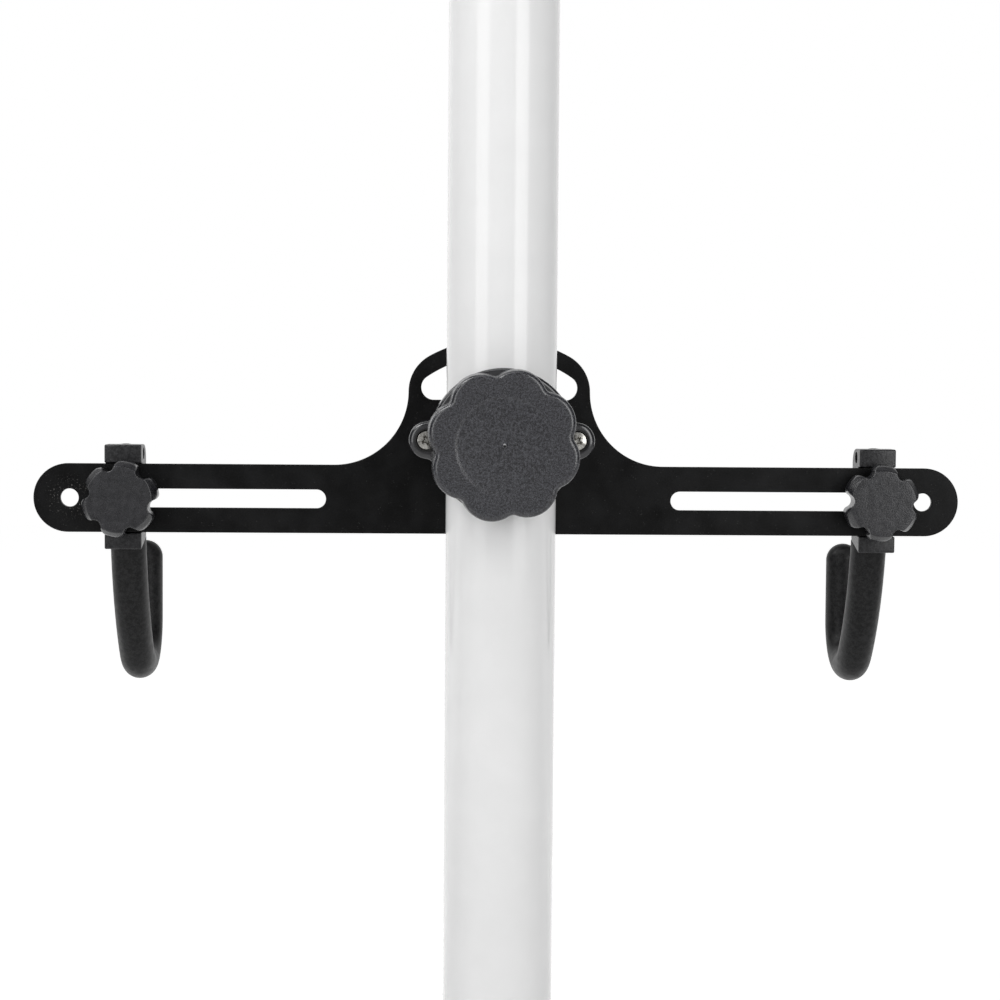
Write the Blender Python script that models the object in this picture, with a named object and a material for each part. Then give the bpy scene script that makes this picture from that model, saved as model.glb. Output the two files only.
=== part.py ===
"""Bicycle cradle on one section of a round storage pole.

Metres, +Z up. The origin is the centre of the pole's lower end. +X runs along the arm
plate, to the right of someone who faces the big clamp knob, and +Y points from the
knobs to the hooks. The cradle slides and turns on the pole, the big knob clamps it,
and each hook slides along its slot and is clamped by a knob of its own.
"""
import math

import bmesh
import bpy
from mathutils import Matrix, Vector

# Fits
SEAT_GAP = 0.0003             # between faces that rest on each other
BORE_GAP = 0.0003             # around a shaft, screw or rod in its hole
COLLAR_CLEARANCE = 0.0008     # between the pole and the collar's lips

# Pole section
POLE_DIAMETER = 0.050
POLE_WALL = 0.0015
POLE_BODY_LENGTH = 0.660
SPIGOT_LENGTH = 0.045
SWAGE_LENGTH = 0.006
SPIGOT_LEAD = 0.002

# Split liner between pole and collar
LINER_WALL = 0.0016
LINER_LENGTH = 0.030
LINER_SPLIT = 0.003

# Arm plate
ARM_HEIGHT_ON_POLE = 0.330    # arm's centre line above the pole's lower end
ARM_LENGTH = 0.433
ARM_WIDTH = 0.032
ARM_THICKNESS = 0.003
END_HOLE_INSET = 0.0167       # from the plate's end to the hole's centre
END_HOLE_DIAMETER = 0.0085
SLOT_WIDTH = 0.0088
SLOT_INNER_END = 0.0807       # from the arm's middle to the slot's inner end
SLOT_END_INSET = 0.0321       # from the plate's end to the slot's outer end
HUMP_WIDTH = 0.0848
HUMP_HEIGHT = 0.0756          # crown above the arm's centre line
CROWN_RADIUS = 0.0678
SHOULDER_RADIUS = 0.019
WINDOW_BAND = 0.0078          # metal left between window and crown
WINDOW_SILL = 0.0467          # above the arm's centre line
WINDOW_END_RADIUS = 0.0058

# Collar that clamps on the pole
CLAMP_RISE = 0.0289           # collar's centre above the arm's centre line
HOUSING_DIAMETER = 0.0652
HOUSING_WALL = 0.0038         # in front of the liner
HOUSING_EDGE = 0.002
SADDLE_WALL = 0.0025          # behind the liner
SADDLE_LENGTH = 0.036
SADDLE_HORN = 0.0176          # how far the saddle reaches forward round the liner
SCREW_SPACING = 0.0678
EAR_SPACING = 0.0668
EAR_DIAMETER = 0.0168
EAR_FRONT = 0.014             # ear's face ahead of the pole's axis
EAR_EDGE = 0.0012
SCREW_DIAMETER = 0.005
SCREW_HEAD_DIAMETER = 0.0091
SCREW_HEAD_HEIGHT = 0.0033
SCREW_SINK = 0.0045           # depth of the counterbore
COUNTERBORE_DIAMETER = 0.0106
SCREW_NUT_WIDTH = 0.008
SCREW_NUT_HEIGHT = 0.005
SCREW_WASHER_DIAMETER = 0.010
SCREW_WASHER_THICKNESS = 0.001
SCREW_END = 0.001             # screw's end beyond its nut

# Pressure pad, threaded insert and clamp stud
STUD_DROP = 0.0013            # their axis below the collar's centre
PAD_DIAMETER = 0.020
PAD_THICKNESS = 0.0025        # at its thinnest, over the liner
PAD_TRAVEL = 0.003
PAD_SOCKET = 0.0012
NECK_DIAMETER = 0.024
INSERT_DIAMETER = 0.014
INSERT_LENGTH = 0.008
INSERT_FLANGE_DIAMETER = 0.0172
INSERT_FLANGE = 0.0009
STUD_DIAMETER = 0.010
STUD_TIP_DIAMETER = 0.006
STUD_HEAD_WIDTH = 0.016
STUD_HEAD_HEIGHT = 0.0024

# Big clamp knob
KNOB_LOBES = 8
KNOB_DIAMETER = 0.0684
KNOB_LOBE_RADIUS = 0.014
KNOB_NOTCH_RADIUS = 0.003
KNOB_PHASE = math.radians(-15.5)
KNOB_WALL = 0.003
KNOB_TOP = 0.0032
KNOB_FACE = 0.0013            # plastic over the stud's head
KNOB_LIP = 0.0012             # plastic under the stud's head
KNOB_EDGE = 0.0024
KNOB_TAPER = 0.0006
KNOB_AIR = 0.0012             # between hub and insert when clamped
KNOB_STANDOFF = 0.001         # between skirt and housing when clamped
KNOB_HUB_DIAMETER = 0.0224
KNOB_DISH_DIAMETER = 0.042
KNOB_DISH_DEPTH = 0.0004
KNOB_RIB = 0.0018
KNOB_RIB_DEPTH = 0.009

# Hook carrier
HOOK_INSETS = {"left": 0.0415, "right": 0.0383}   # from the plate's end, as in the photograph
CARRIER_WIDTH = 0.0171
CARRIER_DEPTH = 0.0186        # of its flat sides
CARRIER_TOP = 0.0248          # above the arm's centre line
CARRIER_FOOT = 0.0242         # below the arm's centre line, at the front
CARRIER_EDGE = 0.0006
CARRIER_BACK_ROUND = 0.007
LIP_PROUD = 0.0004            # lips' front face ahead of the plate
BOSS_WALL = 0.0040            # around the rod
NUT_WIDTH = 0.013
NUT_HEIGHT = 0.0035
HOOK_PIN_SETBACK = 0.0092     # behind the lips' front face
HOOK_PIN_HEIGHT = 0.0206      # above the arm's centre line
HOOK_PIN_DIAMETER = 0.004
HOOK_PIN_BORE = 0.0022
HOOK_PIN_MOUTH = 0.0056
HOOK_PIN_SINK = 0.002

# Hook
ROD_DIAMETER = 0.008
ROD_ABOVE_PIN = 0.0036
ROD_LEAN = math.radians(14.0)
SLEEVE_DIAMETER = 0.0168
HOOK_STRAIGHT = 0.0045        # below the carrier
HOOK_SWEEP_RADIUS = 0.120
HOOK_SWEEP_ANGLE = math.radians(30.0)
HOOK_BEND_RADIUS = 0.0205
HOOK_TIP_LENGTH = 0.0297      # straight end of the far limb
ROD_SHORT_OF_TIP = 0.002

# Small knob, its washer and stud
SMALL_KNOB_LOBES = 6
SMALL_KNOB_DIAMETER = 0.0354
SMALL_KNOB_CORNER_RADIUS = 0.0028
SMALL_KNOB_NOTCH_RADIUS = 0.0032
SMALL_KNOB_WAIST = 0.0272     # across the notches
SMALL_KNOB_FACE_DIAMETER = 0.0304
SMALL_KNOB_RIM = 0.0044       # depth of the sloped rim behind the face
SMALL_KNOB_PHASES = {"left": math.radians(18.3), "right": math.radians(26.0)}
SMALL_KNOB_LENGTH = 0.0145
SMALL_KNOB_HUB_LENGTH = 0.0028
SMALL_KNOB_HUB_DIAMETER = 0.021
SMALL_KNOB_EDGE = 0.0008
SMALL_STUD_DIAMETER = 0.008
SMALL_STUD_HEAD_WIDTH = 0.013
SMALL_STUD_HEAD_HEIGHT = 0.0053
SMALL_WASHER_DIAMETER = 0.021
SMALL_WASHER_THICKNESS = 0.0015

# Number of flats on round pieces
POLE_SIDES = 48
HOUSING_SIDES = 48
SMALL_SIDES = 20
HOOK_SIDES = 14

# Places worked out from the sizes above
POLE_RADIUS = POLE_DIAMETER / 2
LINER_INNER = POLE_RADIUS + SEAT_GAP
LINER_OUTER = LINER_INNER + LINER_WALL
GROOVE_RADIUS = LINER_OUTER + SEAT_GAP
LIP_RADIUS = POLE_RADIUS + COLLAR_CLEARANCE
PLATE_FRONT = GROOVE_RADIUS + SADDLE_WALL + SEAT_GAP
PLATE_BACK = PLATE_FRONT + ARM_THICKNESS
HOUSING_FRONT = -(GROOVE_RADIUS + HOUSING_WALL)
CLAMP_HEIGHT = ARM_HEIGHT_ON_POLE + CLAMP_RISE
PAD_FRONT = -(GROOVE_RADIUS + PAD_THICKNESS)
POCKET_END = PAD_FRONT - PAD_TRAVEL - SEAT_GAP
NECK_FRONT = POCKET_END - INSERT_LENGTH - SEAT_GAP
INSERT_FACE = NECK_FRONT - SEAT_GAP - INSERT_FLANGE
HUB_BACK = INSERT_FACE - KNOB_AIR
STUD_HEAD_BACK = HUB_BACK - KNOB_LIP - SEAT_GAP
STUD_HEAD_FRONT = STUD_HEAD_BACK - STUD_HEAD_HEIGHT
KNOB_FRONT = STUD_HEAD_FRONT - SEAT_GAP - KNOB_FACE
KNOB_BACK = HOUSING_FRONT - KNOB_STANDOFF
LIP_FRONT = PLATE_FRONT - LIP_PROUD
CARRIER_FRONT = PLATE_BACK + SEAT_GAP
HOOK_PIN_DEPTH = LIP_FRONT + HOOK_PIN_SETBACK
NUT_FRONT = CARRIER_FRONT + SEAT_GAP
SMALL_WASHER_FRONT = PLATE_FRONT - SEAT_GAP - SMALL_WASHER_THICKNESS
SMALL_KNOB_BACK = SMALL_WASHER_FRONT - SEAT_GAP
SMALL_KNOB_FRONT = SMALL_KNOB_BACK - SMALL_KNOB_LENGTH


# Materials
def material(name, colour, roughness, metallic):
    made = bpy.data.materials.new(name)
    made.use_nodes = True
    shader = made.node_tree.nodes["Principled BSDF"]
    shader.inputs["Base Color"].default_value = (*colour, 1.0)
    shader.inputs["Roughness"].default_value = roughness
    shader.inputs["Metallic"].default_value = metallic
    return made


# Mesh helpers
def solid(name, mesh, surface, smooth_angle=35.0):
    """Make an object from a bmesh whose faces enclose one solid."""
    bmesh.ops.remove_doubles(mesh, verts=mesh.verts, dist=1e-7)
    bmesh.ops.recalc_face_normals(mesh, faces=mesh.faces)
    data = bpy.data.meshes.new(name)
    mesh.to_mesh(data)
    mesh.free()
    data.shade_smooth()
    data.set_sharp_from_angle(angle=math.radians(smooth_angle))
    made = bpy.data.objects.new(name, data)
    bpy.context.scene.collection.objects.link(made)
    if surface:
        data.materials.append(surface)
    return made


def turned(profile, sides, axis="Z"):
    """Spin a profile of (radius, height) points once round an axis through the origin."""
    mesh = bmesh.new()
    verts = [mesh.verts.new((radius, 0.0, height)) for radius, height in profile]
    edges = [mesh.edges.new(pair) for pair in zip(verts, verts[1:])]
    if profile[0][0] > 0 and profile[-1][0] > 0:
        edges.append(mesh.edges.new((verts[-1], verts[0])))
    bmesh.ops.spin(mesh, geom=verts + edges, cent=(0, 0, 0), axis=(0, 0, 1),
                   angle=2 * math.pi, steps=sides, use_merge=True, use_duplicate=False)
    if axis == "Y":
        bmesh.ops.rotate(mesh, verts=mesh.verts, matrix=Matrix.Rotation(-math.pi / 2, 3, "X"))
    if axis == "X":
        bmesh.ops.rotate(mesh, verts=mesh.verts, matrix=Matrix.Rotation(math.pi / 2, 3, "Y"))
    return mesh


def cylinder(radius, start, end, sides, axis):
    """A plain cylinder between two places on its axis."""
    return turned([(0.0, start), (radius, start), (radius, end), (0.0, end)], sides, axis)


def ring(inner, outer, start, end, sides, axis):
    """A washer or bush between two places on its axis."""
    return turned([(inner, start), (outer, start), (outer, end), (inner, end)], sides, axis)


def block(low, high):
    """A rectangular block between two corners."""
    mesh = bmesh.new()
    bmesh.ops.create_cube(mesh, size=1.0)
    for vert in mesh.verts:
        vert.co = Vector([a + (c + 0.5) * (b - a) for a, b, c in zip(low, high, vert.co)])
    return mesh


def lofted(rings):
    """Bridge rings of points in order, and close both ends with a flat face."""
    mesh = bmesh.new()
    rows = [[mesh.verts.new(point) for point in points] for points in rings]
    count = len(rows[0])
    for row, following in zip(rows, rows[1:]):
        for i in range(count):
            j = (i + 1) % count
            mesh.faces.new((row[i], row[j], following[j], following[i]))
    mesh.faces.new(rows[0])
    mesh.faces.new(rows[-1])
    return mesh


def arc(centre, radius, start, end, steps):
    """Points of an arc, both ends included, with angles in radians."""
    points = []
    for i in range(steps + 1):
        angle = start + (end - start) * i / steps
        points.append((centre[0] + radius * math.cos(angle), centre[1] + radius * math.sin(angle)))
    return points


def mirrored(points):
    """The same points on the other side of the vertical axis, in reverse order."""
    return [(-x, z) for x, z in reversed(points)]


def hexagon(width):
    """Corners of a hexagon of a given width over its flats, with flats at the sides."""
    corner = width / math.sqrt(3)
    return [(corner * math.sin(k * math.pi / 3), corner * math.cos(k * math.pi / 3)) for k in range(6)]


def upright(outline, depth):
    """Points of an (x, z) outline at a given depth y."""
    return [(x, depth, z) for x, z in outline]


def carved(base, joins=(), cuts=()):
    """Join and cut a solid with tool solids, and leave the finished mesh on the base."""
    for operation, tools in (("UNION", joins), ("DIFFERENCE", cuts)):
        for number, tool in enumerate(tools):
            shape = solid(f"tool_{operation.lower()}_{number}", tool, None)
            shape.hide_render = True
            shape.display_type = "WIRE"
            step = base.modifiers.new(shape.name, "BOOLEAN")
            step.operation = operation
            step.solver = "EXACT"
            step.object = shape
    scene_state = bpy.context.evaluated_depsgraph_get()
    scene_state.update()
    finished = bpy.data.meshes.new_from_object(base.evaluated_get(scene_state), depsgraph=scene_state)
    finished.name = base.name
    tools = [step.object for step in base.modifiers if step.type == "BOOLEAN"]
    base.modifiers.clear()
    base.data = finished
    base.data.shade_smooth()
    base.data.set_sharp_from_angle(angle=math.radians(35.0))
    for tool in tools:
        bpy.data.objects.remove(tool)
    return base


def moved(mesh, offset):
    bmesh.ops.translate(mesh, verts=mesh.verts, vec=offset)
    return mesh


def empty(name, place, parent=None):
    made = bpy.data.objects.new(name, None)
    bpy.context.scene.collection.objects.link(made)
    made.empty_display_size = 0.02
    made.parent = parent
    made.location = place
    return made


def place(made, parent, offset=(0.0, 0.0, 0.0), turn=0.0):
    """Hang an object on its empty, turned anticlockwise as seen from the knobs' side."""
    made.parent = parent
    made.location = offset
    made.rotation_euler = (0.0, -turn, 0.0)
    return made


def copy_of(made, name):
    """Another object with the same mesh."""
    twin = bpy.data.objects.new(name, made.data)
    bpy.context.scene.collection.objects.link(twin)
    return twin


# Pole
def pole_tube(surface):
    """A tube whose lower end is a socket and whose upper end is swaged to fit one."""
    socket = POLE_RADIUS - POLE_WALL
    spigot = socket - SEAT_GAP
    top = POLE_BODY_LENGTH + SPIGOT_LENGTH
    shoulder = POLE_BODY_LENGTH - SWAGE_LENGTH
    profile = [
        (POLE_RADIUS, 0.0),
        (POLE_RADIUS, shoulder),
        (spigot, POLE_BODY_LENGTH),
        (spigot, top - SPIGOT_LEAD),
        (spigot - POLE_WALL / 2, top),
        (spigot - POLE_WALL, top),
        (spigot - POLE_WALL, POLE_BODY_LENGTH),
        (socket, shoulder),
        (socket, 0.0),
    ]
    return solid("pole_tube", turned(profile, POLE_SIDES), surface)


def clamp_liner(surface):
    """A thin sleeve, split at the back so that it can close on the pole."""
    half_split = LINER_SPLIT / 2 / LINER_INNER
    half = LINER_LENGTH / 2
    section = [(LINER_INNER, -half), (LINER_OUTER, -half), (LINER_OUTER, half), (LINER_INNER, half)]
    rings = []
    for i in range(POLE_SIDES + 1):
        angle = math.pi / 2 + half_split + (2 * math.pi - 2 * half_split) * i / POLE_SIDES
        rings.append([(r * math.cos(angle), r * math.sin(angle), z) for r, z in section])
    return solid("clamp_liner", lofted(rings), surface)


# Arm plate
def plate_outline():
    """Round-ended bar with a humped middle: flare, shoulder and crown are tangent arcs."""
    half = ARM_WIDTH / 2
    end = ARM_LENGTH / 2 - half
    crown_centre = HUMP_HEIGHT - CROWN_RADIUS
    shoulder_x = HUMP_WIDTH / 2 - SHOULDER_RADIUS
    shoulder_z = crown_centre + math.sqrt((CROWN_RADIUS - SHOULDER_RADIUS) ** 2 - shoulder_x ** 2)
    flare = shoulder_z - half
    lean = math.atan2(shoulder_z - crown_centre, shoulder_x)
    right = arc((end, 0.0), half, -math.pi / 2, math.pi / 2, 16)
    right += arc((HUMP_WIDTH / 2 + flare, shoulder_z), flare, -math.pi / 2, -math.pi, 14)
    right += arc((shoulder_x, shoulder_z), SHOULDER_RADIUS, 0.0, lean, 8)[1:]
    right += arc((0.0, crown_centre), CROWN_RADIUS, lean, math.pi / 2, 6)[1:]
    return right + mirrored(right)[1:]


def window_outline():
    """Arched window: its crown runs parallel to the hump's, over a level sill."""
    crown_centre = HUMP_HEIGHT - CROWN_RADIUS
    crown = CROWN_RADIUS - WINDOW_BAND
    end_z = WINDOW_SILL + WINDOW_END_RADIUS
    end_x = math.sqrt((crown - WINDOW_END_RADIUS) ** 2 - (end_z - crown_centre) ** 2)
    lean = math.atan2(end_z - crown_centre, end_x)
    right = arc((end_x, end_z), WINDOW_END_RADIUS, -math.pi / 2, lean, 8)
    right += arc((0.0, crown_centre), crown, lean, math.pi / 2, 6)[1:]
    return right + mirrored(right)[1:]


def slot_outline(side):
    radius = SLOT_WIDTH / 2
    near = side * (SLOT_INNER_END + radius)
    far = side * (ARM_LENGTH / 2 - SLOT_END_INSET - radius)
    points = arc((max(near, far), 0.0), radius, -math.pi / 2, math.pi / 2, 8)
    return points + arc((min(near, far), 0.0), radius, math.pi / 2, 3 * math.pi / 2, 8)


def hole_outline(x, z, radius, steps=20):
    return arc((x, z), radius, 0.0, 2 * math.pi, steps)[:-1]


def arm_plate(surface):
    """Flat plate, cut from sheet with its slots, window and holes."""
    loops = [plate_outline(), window_outline()]
    for side in (-1, 1):
        loops.append(slot_outline(side))
        end_hole = side * (ARM_LENGTH / 2 - END_HOLE_INSET)
        loops.append(hole_outline(end_hole, 0.0, END_HOLE_DIAMETER / 2))
        loops.append(hole_outline(side * SCREW_SPACING / 2, CLAMP_RISE, SCREW_DIAMETER / 2 + BORE_GAP, 12))
    mesh = bmesh.new()
    for points in loops:
        verts = [mesh.verts.new((x, PLATE_FRONT, z)) for x, z in points]
        for i, vert in enumerate(verts):
            mesh.edges.new((vert, verts[(i + 1) % len(verts)]))
    bmesh.ops.remove_doubles(mesh, verts=mesh.verts, dist=1e-7)
    bmesh.ops.triangle_fill(mesh, use_beauty=True, edges=mesh.edges[:])
    sheet = bmesh.ops.extrude_face_region(mesh, geom=mesh.faces[:])
    back = [item for item in sheet["geom"] if isinstance(item, bmesh.types.BMVert)]
    bmesh.ops.translate(mesh, verts=back, vec=(0.0, ARM_THICKNESS, 0.0))
    return solid("arm_plate", mesh, surface)


# Collar
def rounded_post(radius, start, end, edge, sides):
    """A post along Y whose start is rounded over."""
    profile = [(0.0, start)]
    for r, y in reversed(arc((radius - edge, start + edge), edge, -math.pi, -math.pi / 2, 3)):
        profile.append((2 * (radius - edge) - r, y))
    return turned([*profile, (radius, end), (0.0, end)], sides, "Y")


def clamp_body(surface):
    """Round housing that wraps the pole, with a screw ear each side and a threaded neck."""
    back = PLATE_FRONT - SEAT_GAP
    half_housing = HOUSING_DIAMETER / 2
    half_bay = GROOVE_RADIUS + SEAT_GAP
    reach = half_housing + 0.01
    drum = rounded_post(half_housing, HOUSING_FRONT, back, HOUSING_EDGE, HOUSING_SIDES)
    base = solid("clamp_body", drum, surface)
    neck = cylinder(NECK_DIAMETER / 2, NECK_FRONT, HOUSING_FRONT + HOUSING_EDGE, SMALL_SIDES, "Y")
    joins = [moved(neck, (0.0, 0.0, -STUD_DROP))]
    for side in (-1, 1):
        ear = rounded_post(EAR_DIAMETER / 2, -EAR_FRONT, back, EAR_EDGE, SMALL_SIDES)
        joins.append(moved(ear, (side * EAR_SPACING / 2, 0.0, 0.0)))
    cuts = [
        cylinder(LIP_RADIUS, -reach, reach, POLE_SIDES, "Z"),
        block((-half_bay, 0.0, -reach), (half_bay, back + 0.01, reach)),
        cylinder(GROOVE_RADIUS, -LINER_LENGTH / 2 - SEAT_GAP, LINER_LENGTH / 2 + SEAT_GAP, POLE_SIDES, "Z"),
    ]
    pocket = cylinder(PAD_DIAMETER / 2 + BORE_GAP, POCKET_END, -LIP_RADIUS / 2, SMALL_SIDES, "Y")
    seat = cylinder(INSERT_DIAMETER / 2 + BORE_GAP, NECK_FRONT - 0.01, POCKET_END + 0.001, SMALL_SIDES, "Y")
    cuts += [moved(hollow, (0.0, 0.0, -STUD_DROP)) for hollow in (pocket, seat)]
    for side in (-1, 1):
        x = side * SCREW_SPACING / 2
        floor = SCREW_SINK - EAR_FRONT
        sink = cylinder(COUNTERBORE_DIAMETER / 2, HOUSING_FRONT - 0.01, floor, SMALL_SIDES, "Y")
        shank = cylinder(SCREW_DIAMETER / 2 + BORE_GAP, floor - SCREW_SINK / 2, back + 0.01, 12, "Y")
        cuts.append(moved(sink, (x, 0.0, 0.0)))
        cuts.append(moved(shank, (x, 0.0, 0.0)))
    return carved(base, joins, cuts)


def clamp_saddle(surface):
    """Block behind the pole that closes the collar and rests on the arm plate."""
    half_width = GROOVE_RADIUS
    half_length = SADDLE_LENGTH / 2
    back = PLATE_FRONT - SEAT_GAP
    low = (-half_width, back - SADDLE_HORN, -half_length)
    base = solid("clamp_saddle", block(low, (half_width, back, half_length)), surface)
    half_groove = LINER_LENGTH / 2 + SEAT_GAP
    reach = half_length + 0.01
    cuts = [
        cylinder(LIP_RADIUS, -reach, reach, POLE_SIDES, "Z"),
        cylinder(GROOVE_RADIUS, -half_groove, half_groove, POLE_SIDES, "Z"),
    ]
    return carved(base, cuts=cuts)


def clamp_screw(surface):
    """Pan-head screw along Y, with its head at the front."""
    radius = SCREW_DIAMETER / 2
    head = SCREW_HEAD_DIAMETER / 2
    under = -EAR_FRONT + SCREW_SINK - SEAT_GAP
    top = under - SCREW_HEAD_HEIGHT
    tip = PLATE_BACK + 2 * SEAT_GAP + SCREW_WASHER_THICKNESS + SCREW_NUT_HEIGHT + SCREW_END
    edge = SCREW_HEAD_HEIGHT / 2
    dome = [(0.0, top)]
    dome += [(head - edge + r, top + edge + y) for r, y in arc((0.0, 0.0), edge, -math.pi / 2, 0.0, 3)]
    shank = [(radius, under), (radius, tip - radius / 2), (radius / 2, tip), (0.0, tip)]
    profile = [*dome, (head, under), *shank]
    return solid("clamp_screw_left", turned(profile, 16, "Y"), surface)


def nut(name, outline, hole, front, height, surface):
    """A nut along Y with a plain bore."""
    base = solid(name, lofted([upright(outline, front), upright(outline, front + height)]), surface)
    return carved(base, cuts=[cylinder(hole, front - 0.01, front + height + 0.01, SMALL_SIDES, "Y")])


def pressure_pad(surface):
    """Round pad, hollowed to the liner at the back and socketed for the stud's tip."""
    radius = PAD_DIAMETER / 2
    edge = PAD_THICKNESS / 4
    profile = [(0.0, PAD_FRONT), (radius - edge, PAD_FRONT), (radius, PAD_FRONT + edge)]
    profile += [(radius, -LINER_OUTER / 2), (0.0, -LINER_OUTER / 2)]
    base = solid("pressure_pad", turned(profile, SMALL_SIDES, "Y"), surface)
    socket = STUD_TIP_DIAMETER / 2 + BORE_GAP
    cuts = [
        cylinder(GROOVE_RADIUS, -PAD_DIAMETER, PAD_DIAMETER, POLE_SIDES, "Z"),
        cylinder(socket, PAD_FRONT - 0.01, PAD_FRONT + PAD_SOCKET, SMALL_SIDES, "Y"),
    ]
    return carved(base, cuts=cuts)


def knob_insert(surface):
    """Flanged bush that carries the clamp stud's thread."""
    bore = STUD_DIAMETER / 2 + BORE_GAP
    profile = [
        (bore, INSERT_FACE),
        (INSERT_FLANGE_DIAMETER / 2, INSERT_FACE),
        (INSERT_FLANGE_DIAMETER / 2, NECK_FRONT - SEAT_GAP),
        (INSERT_DIAMETER / 2, NECK_FRONT - SEAT_GAP),
        (INSERT_DIAMETER / 2, POCKET_END - SEAT_GAP),
        (bore, POCKET_END - SEAT_GAP),
    ]
    return solid("knob_insert", turned(profile, SMALL_SIDES, "Y"), surface)


# Knobs
def lobed_outline(lobes, tip, lobe, notch, inset, lobe_steps=6, notch_steps=3):
    """Round lobes of one radius joined by tangent hollows of another, drawn in by an inset."""
    half_pitch = math.pi / lobes
    offset = tip - lobe
    across = math.sqrt((lobe + notch) ** 2 - (offset * math.sin(half_pitch)) ** 2)
    hollow = offset * math.cos(half_pitch) + across
    swing = math.atan2(hollow * math.sin(half_pitch), hollow * math.cos(half_pitch) - offset)
    points = []
    for k in range(lobes):
        turn = 2 * k * half_pitch
        crest = (offset * math.cos(turn), offset * math.sin(turn))
        valley = (hollow * math.cos(turn + half_pitch), hollow * math.sin(turn + half_pitch))
        points += arc(crest, lobe - inset, turn - swing, turn + swing, lobe_steps)
        start = turn + swing + math.pi
        end = turn + 2 * half_pitch - swing + math.pi
        points += arc(valley, notch + inset, start, end, notch_steps)[1:-1]
    return points


def scalloped_outline(lobes, tip, corner, notch, waist, limit):
    """A disc with round notches and rounded corners, no point further out than the limit."""
    half_pitch = math.pi / lobes
    offset = tip - corner
    hollow = waist + notch
    gap = (offset ** 2 + hollow ** 2 - (corner + notch) ** 2) / (2 * offset * hollow)
    flank = half_pitch - math.acos(gap)
    rise = hollow * math.sin(half_pitch) - offset * math.sin(flank)
    run = hollow * math.cos(half_pitch) - offset * math.cos(flank)
    swing = math.atan2(rise, run)
    points = []
    for k in range(lobes):
        turn = 2 * k * half_pitch
        before = (offset * math.cos(turn - flank), offset * math.sin(turn - flank))
        after = (offset * math.cos(turn + flank), offset * math.sin(turn + flank))
        valley = (hollow * math.cos(turn + half_pitch), hollow * math.sin(turn + half_pitch))
        points += arc(before, corner, turn - swing, turn - flank, 3)
        points += arc((0.0, 0.0), tip, turn - flank, turn + flank, 3)[1:-1]
        points += arc(after, corner, turn + flank, turn + swing, 3)
        start = turn + swing + math.pi
        end = turn + 2 * half_pitch - swing + math.pi
        points += arc(valley, notch, start, end, 4)[1:-1]
    shares = [min(1.0, limit / math.hypot(x, z)) for x, z in points]
    return [(share * x, share * z) for share, (x, z) in zip(shares, points)]


def clamp_knob(surface):
    """Hollow eight-lobed knob: skirt, ribs, and a hub that holds the stud's head."""
    def ring_at(inset, depth):
        radii = (KNOB_DIAMETER / 2, KNOB_LOBE_RADIUS, KNOB_NOTCH_RADIUS)
        return upright(lobed_outline(KNOB_LOBES, *radii, inset), depth)

    ceiling = KNOB_FRONT + KNOB_TOP
    rings = [ring_at(KNOB_WALL + KNOB_TAPER, ceiling), ring_at(KNOB_WALL, KNOB_BACK)]
    rings.append(ring_at(0.0, KNOB_BACK))
    rounding = arc((KNOB_TAPER + KNOB_EDGE, KNOB_FRONT + KNOB_EDGE), KNOB_EDGE, -math.pi, -math.pi / 2, 4)
    rings += [ring_at(inset, depth) for inset, depth in rounding]
    base = solid("clamp_knob", lofted(rings), surface)
    hub = KNOB_HUB_DIAMETER / 2
    joins = [cylinder(hub, ceiling - KNOB_TOP / 2, HUB_BACK, SMALL_SIDES, "Y")]
    spoke_start = hub - 0.001
    spoke_end = KNOB_DIAMETER / 2 - 1.5 * KNOB_WALL
    for k in range(KNOB_LOBES):
        low = (spoke_start, ceiling - KNOB_TOP / 2, -KNOB_RIB / 2)
        spoke = block(low, (spoke_end, ceiling + KNOB_RIB_DEPTH, KNOB_RIB / 2))
        turn = Matrix.Rotation(2 * math.pi * k / KNOB_LOBES, 3, "Y")
        bmesh.ops.rotate(spoke, verts=spoke.verts, matrix=turn)
        joins.append(spoke)
    head = hexagon(STUD_HEAD_WIDTH + 2 * BORE_GAP)
    pocket = [upright(head, STUD_HEAD_FRONT - SEAT_GAP), upright(head, STUD_HEAD_BACK + SEAT_GAP)]
    cuts = [
        cylinder(NECK_DIAMETER / 2 + KNOB_AIR, HUB_BACK, 0.0, SMALL_SIDES, "Y"),
        lofted(pocket),
        cylinder(STUD_DIAMETER / 2 + BORE_GAP, STUD_HEAD_BACK, 0.0, SMALL_SIDES, "Y"),
        cylinder(KNOB_DISH_DIAMETER / 2, KNOB_FRONT - 0.01, KNOB_FRONT + KNOB_DISH_DEPTH, 48, "Y"),
    ]
    return carved(base, joins, cuts)


def headed_stud(name, width, head_front, head_back, radius, tip, tip_radius, tip_length, surface):
    """A stud along Y with a hexagonal head at the front and a turned-down tip."""
    head = lofted([upright(hexagon(width), head_front), upright(hexagon(width), head_back)])
    base = solid(name, head, surface)
    profile = [(0.0, (head_front + head_back) / 2), (radius, (head_front + head_back) / 2)]
    profile += [(radius, tip - tip_length), (tip_radius, tip - tip_length), (tip_radius, tip), (0.0, tip)]
    return carved(base, joins=[turned(profile, SMALL_SIDES, "Y")])


def clamp_stud(surface):
    return headed_stud(
        "clamp_stud", STUD_HEAD_WIDTH, STUD_HEAD_FRONT, STUD_HEAD_BACK, STUD_DIAMETER / 2,
        PAD_FRONT + PAD_SOCKET - SEAT_GAP, STUD_TIP_DIAMETER / 2, PAD_SOCKET, surface)


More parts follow.
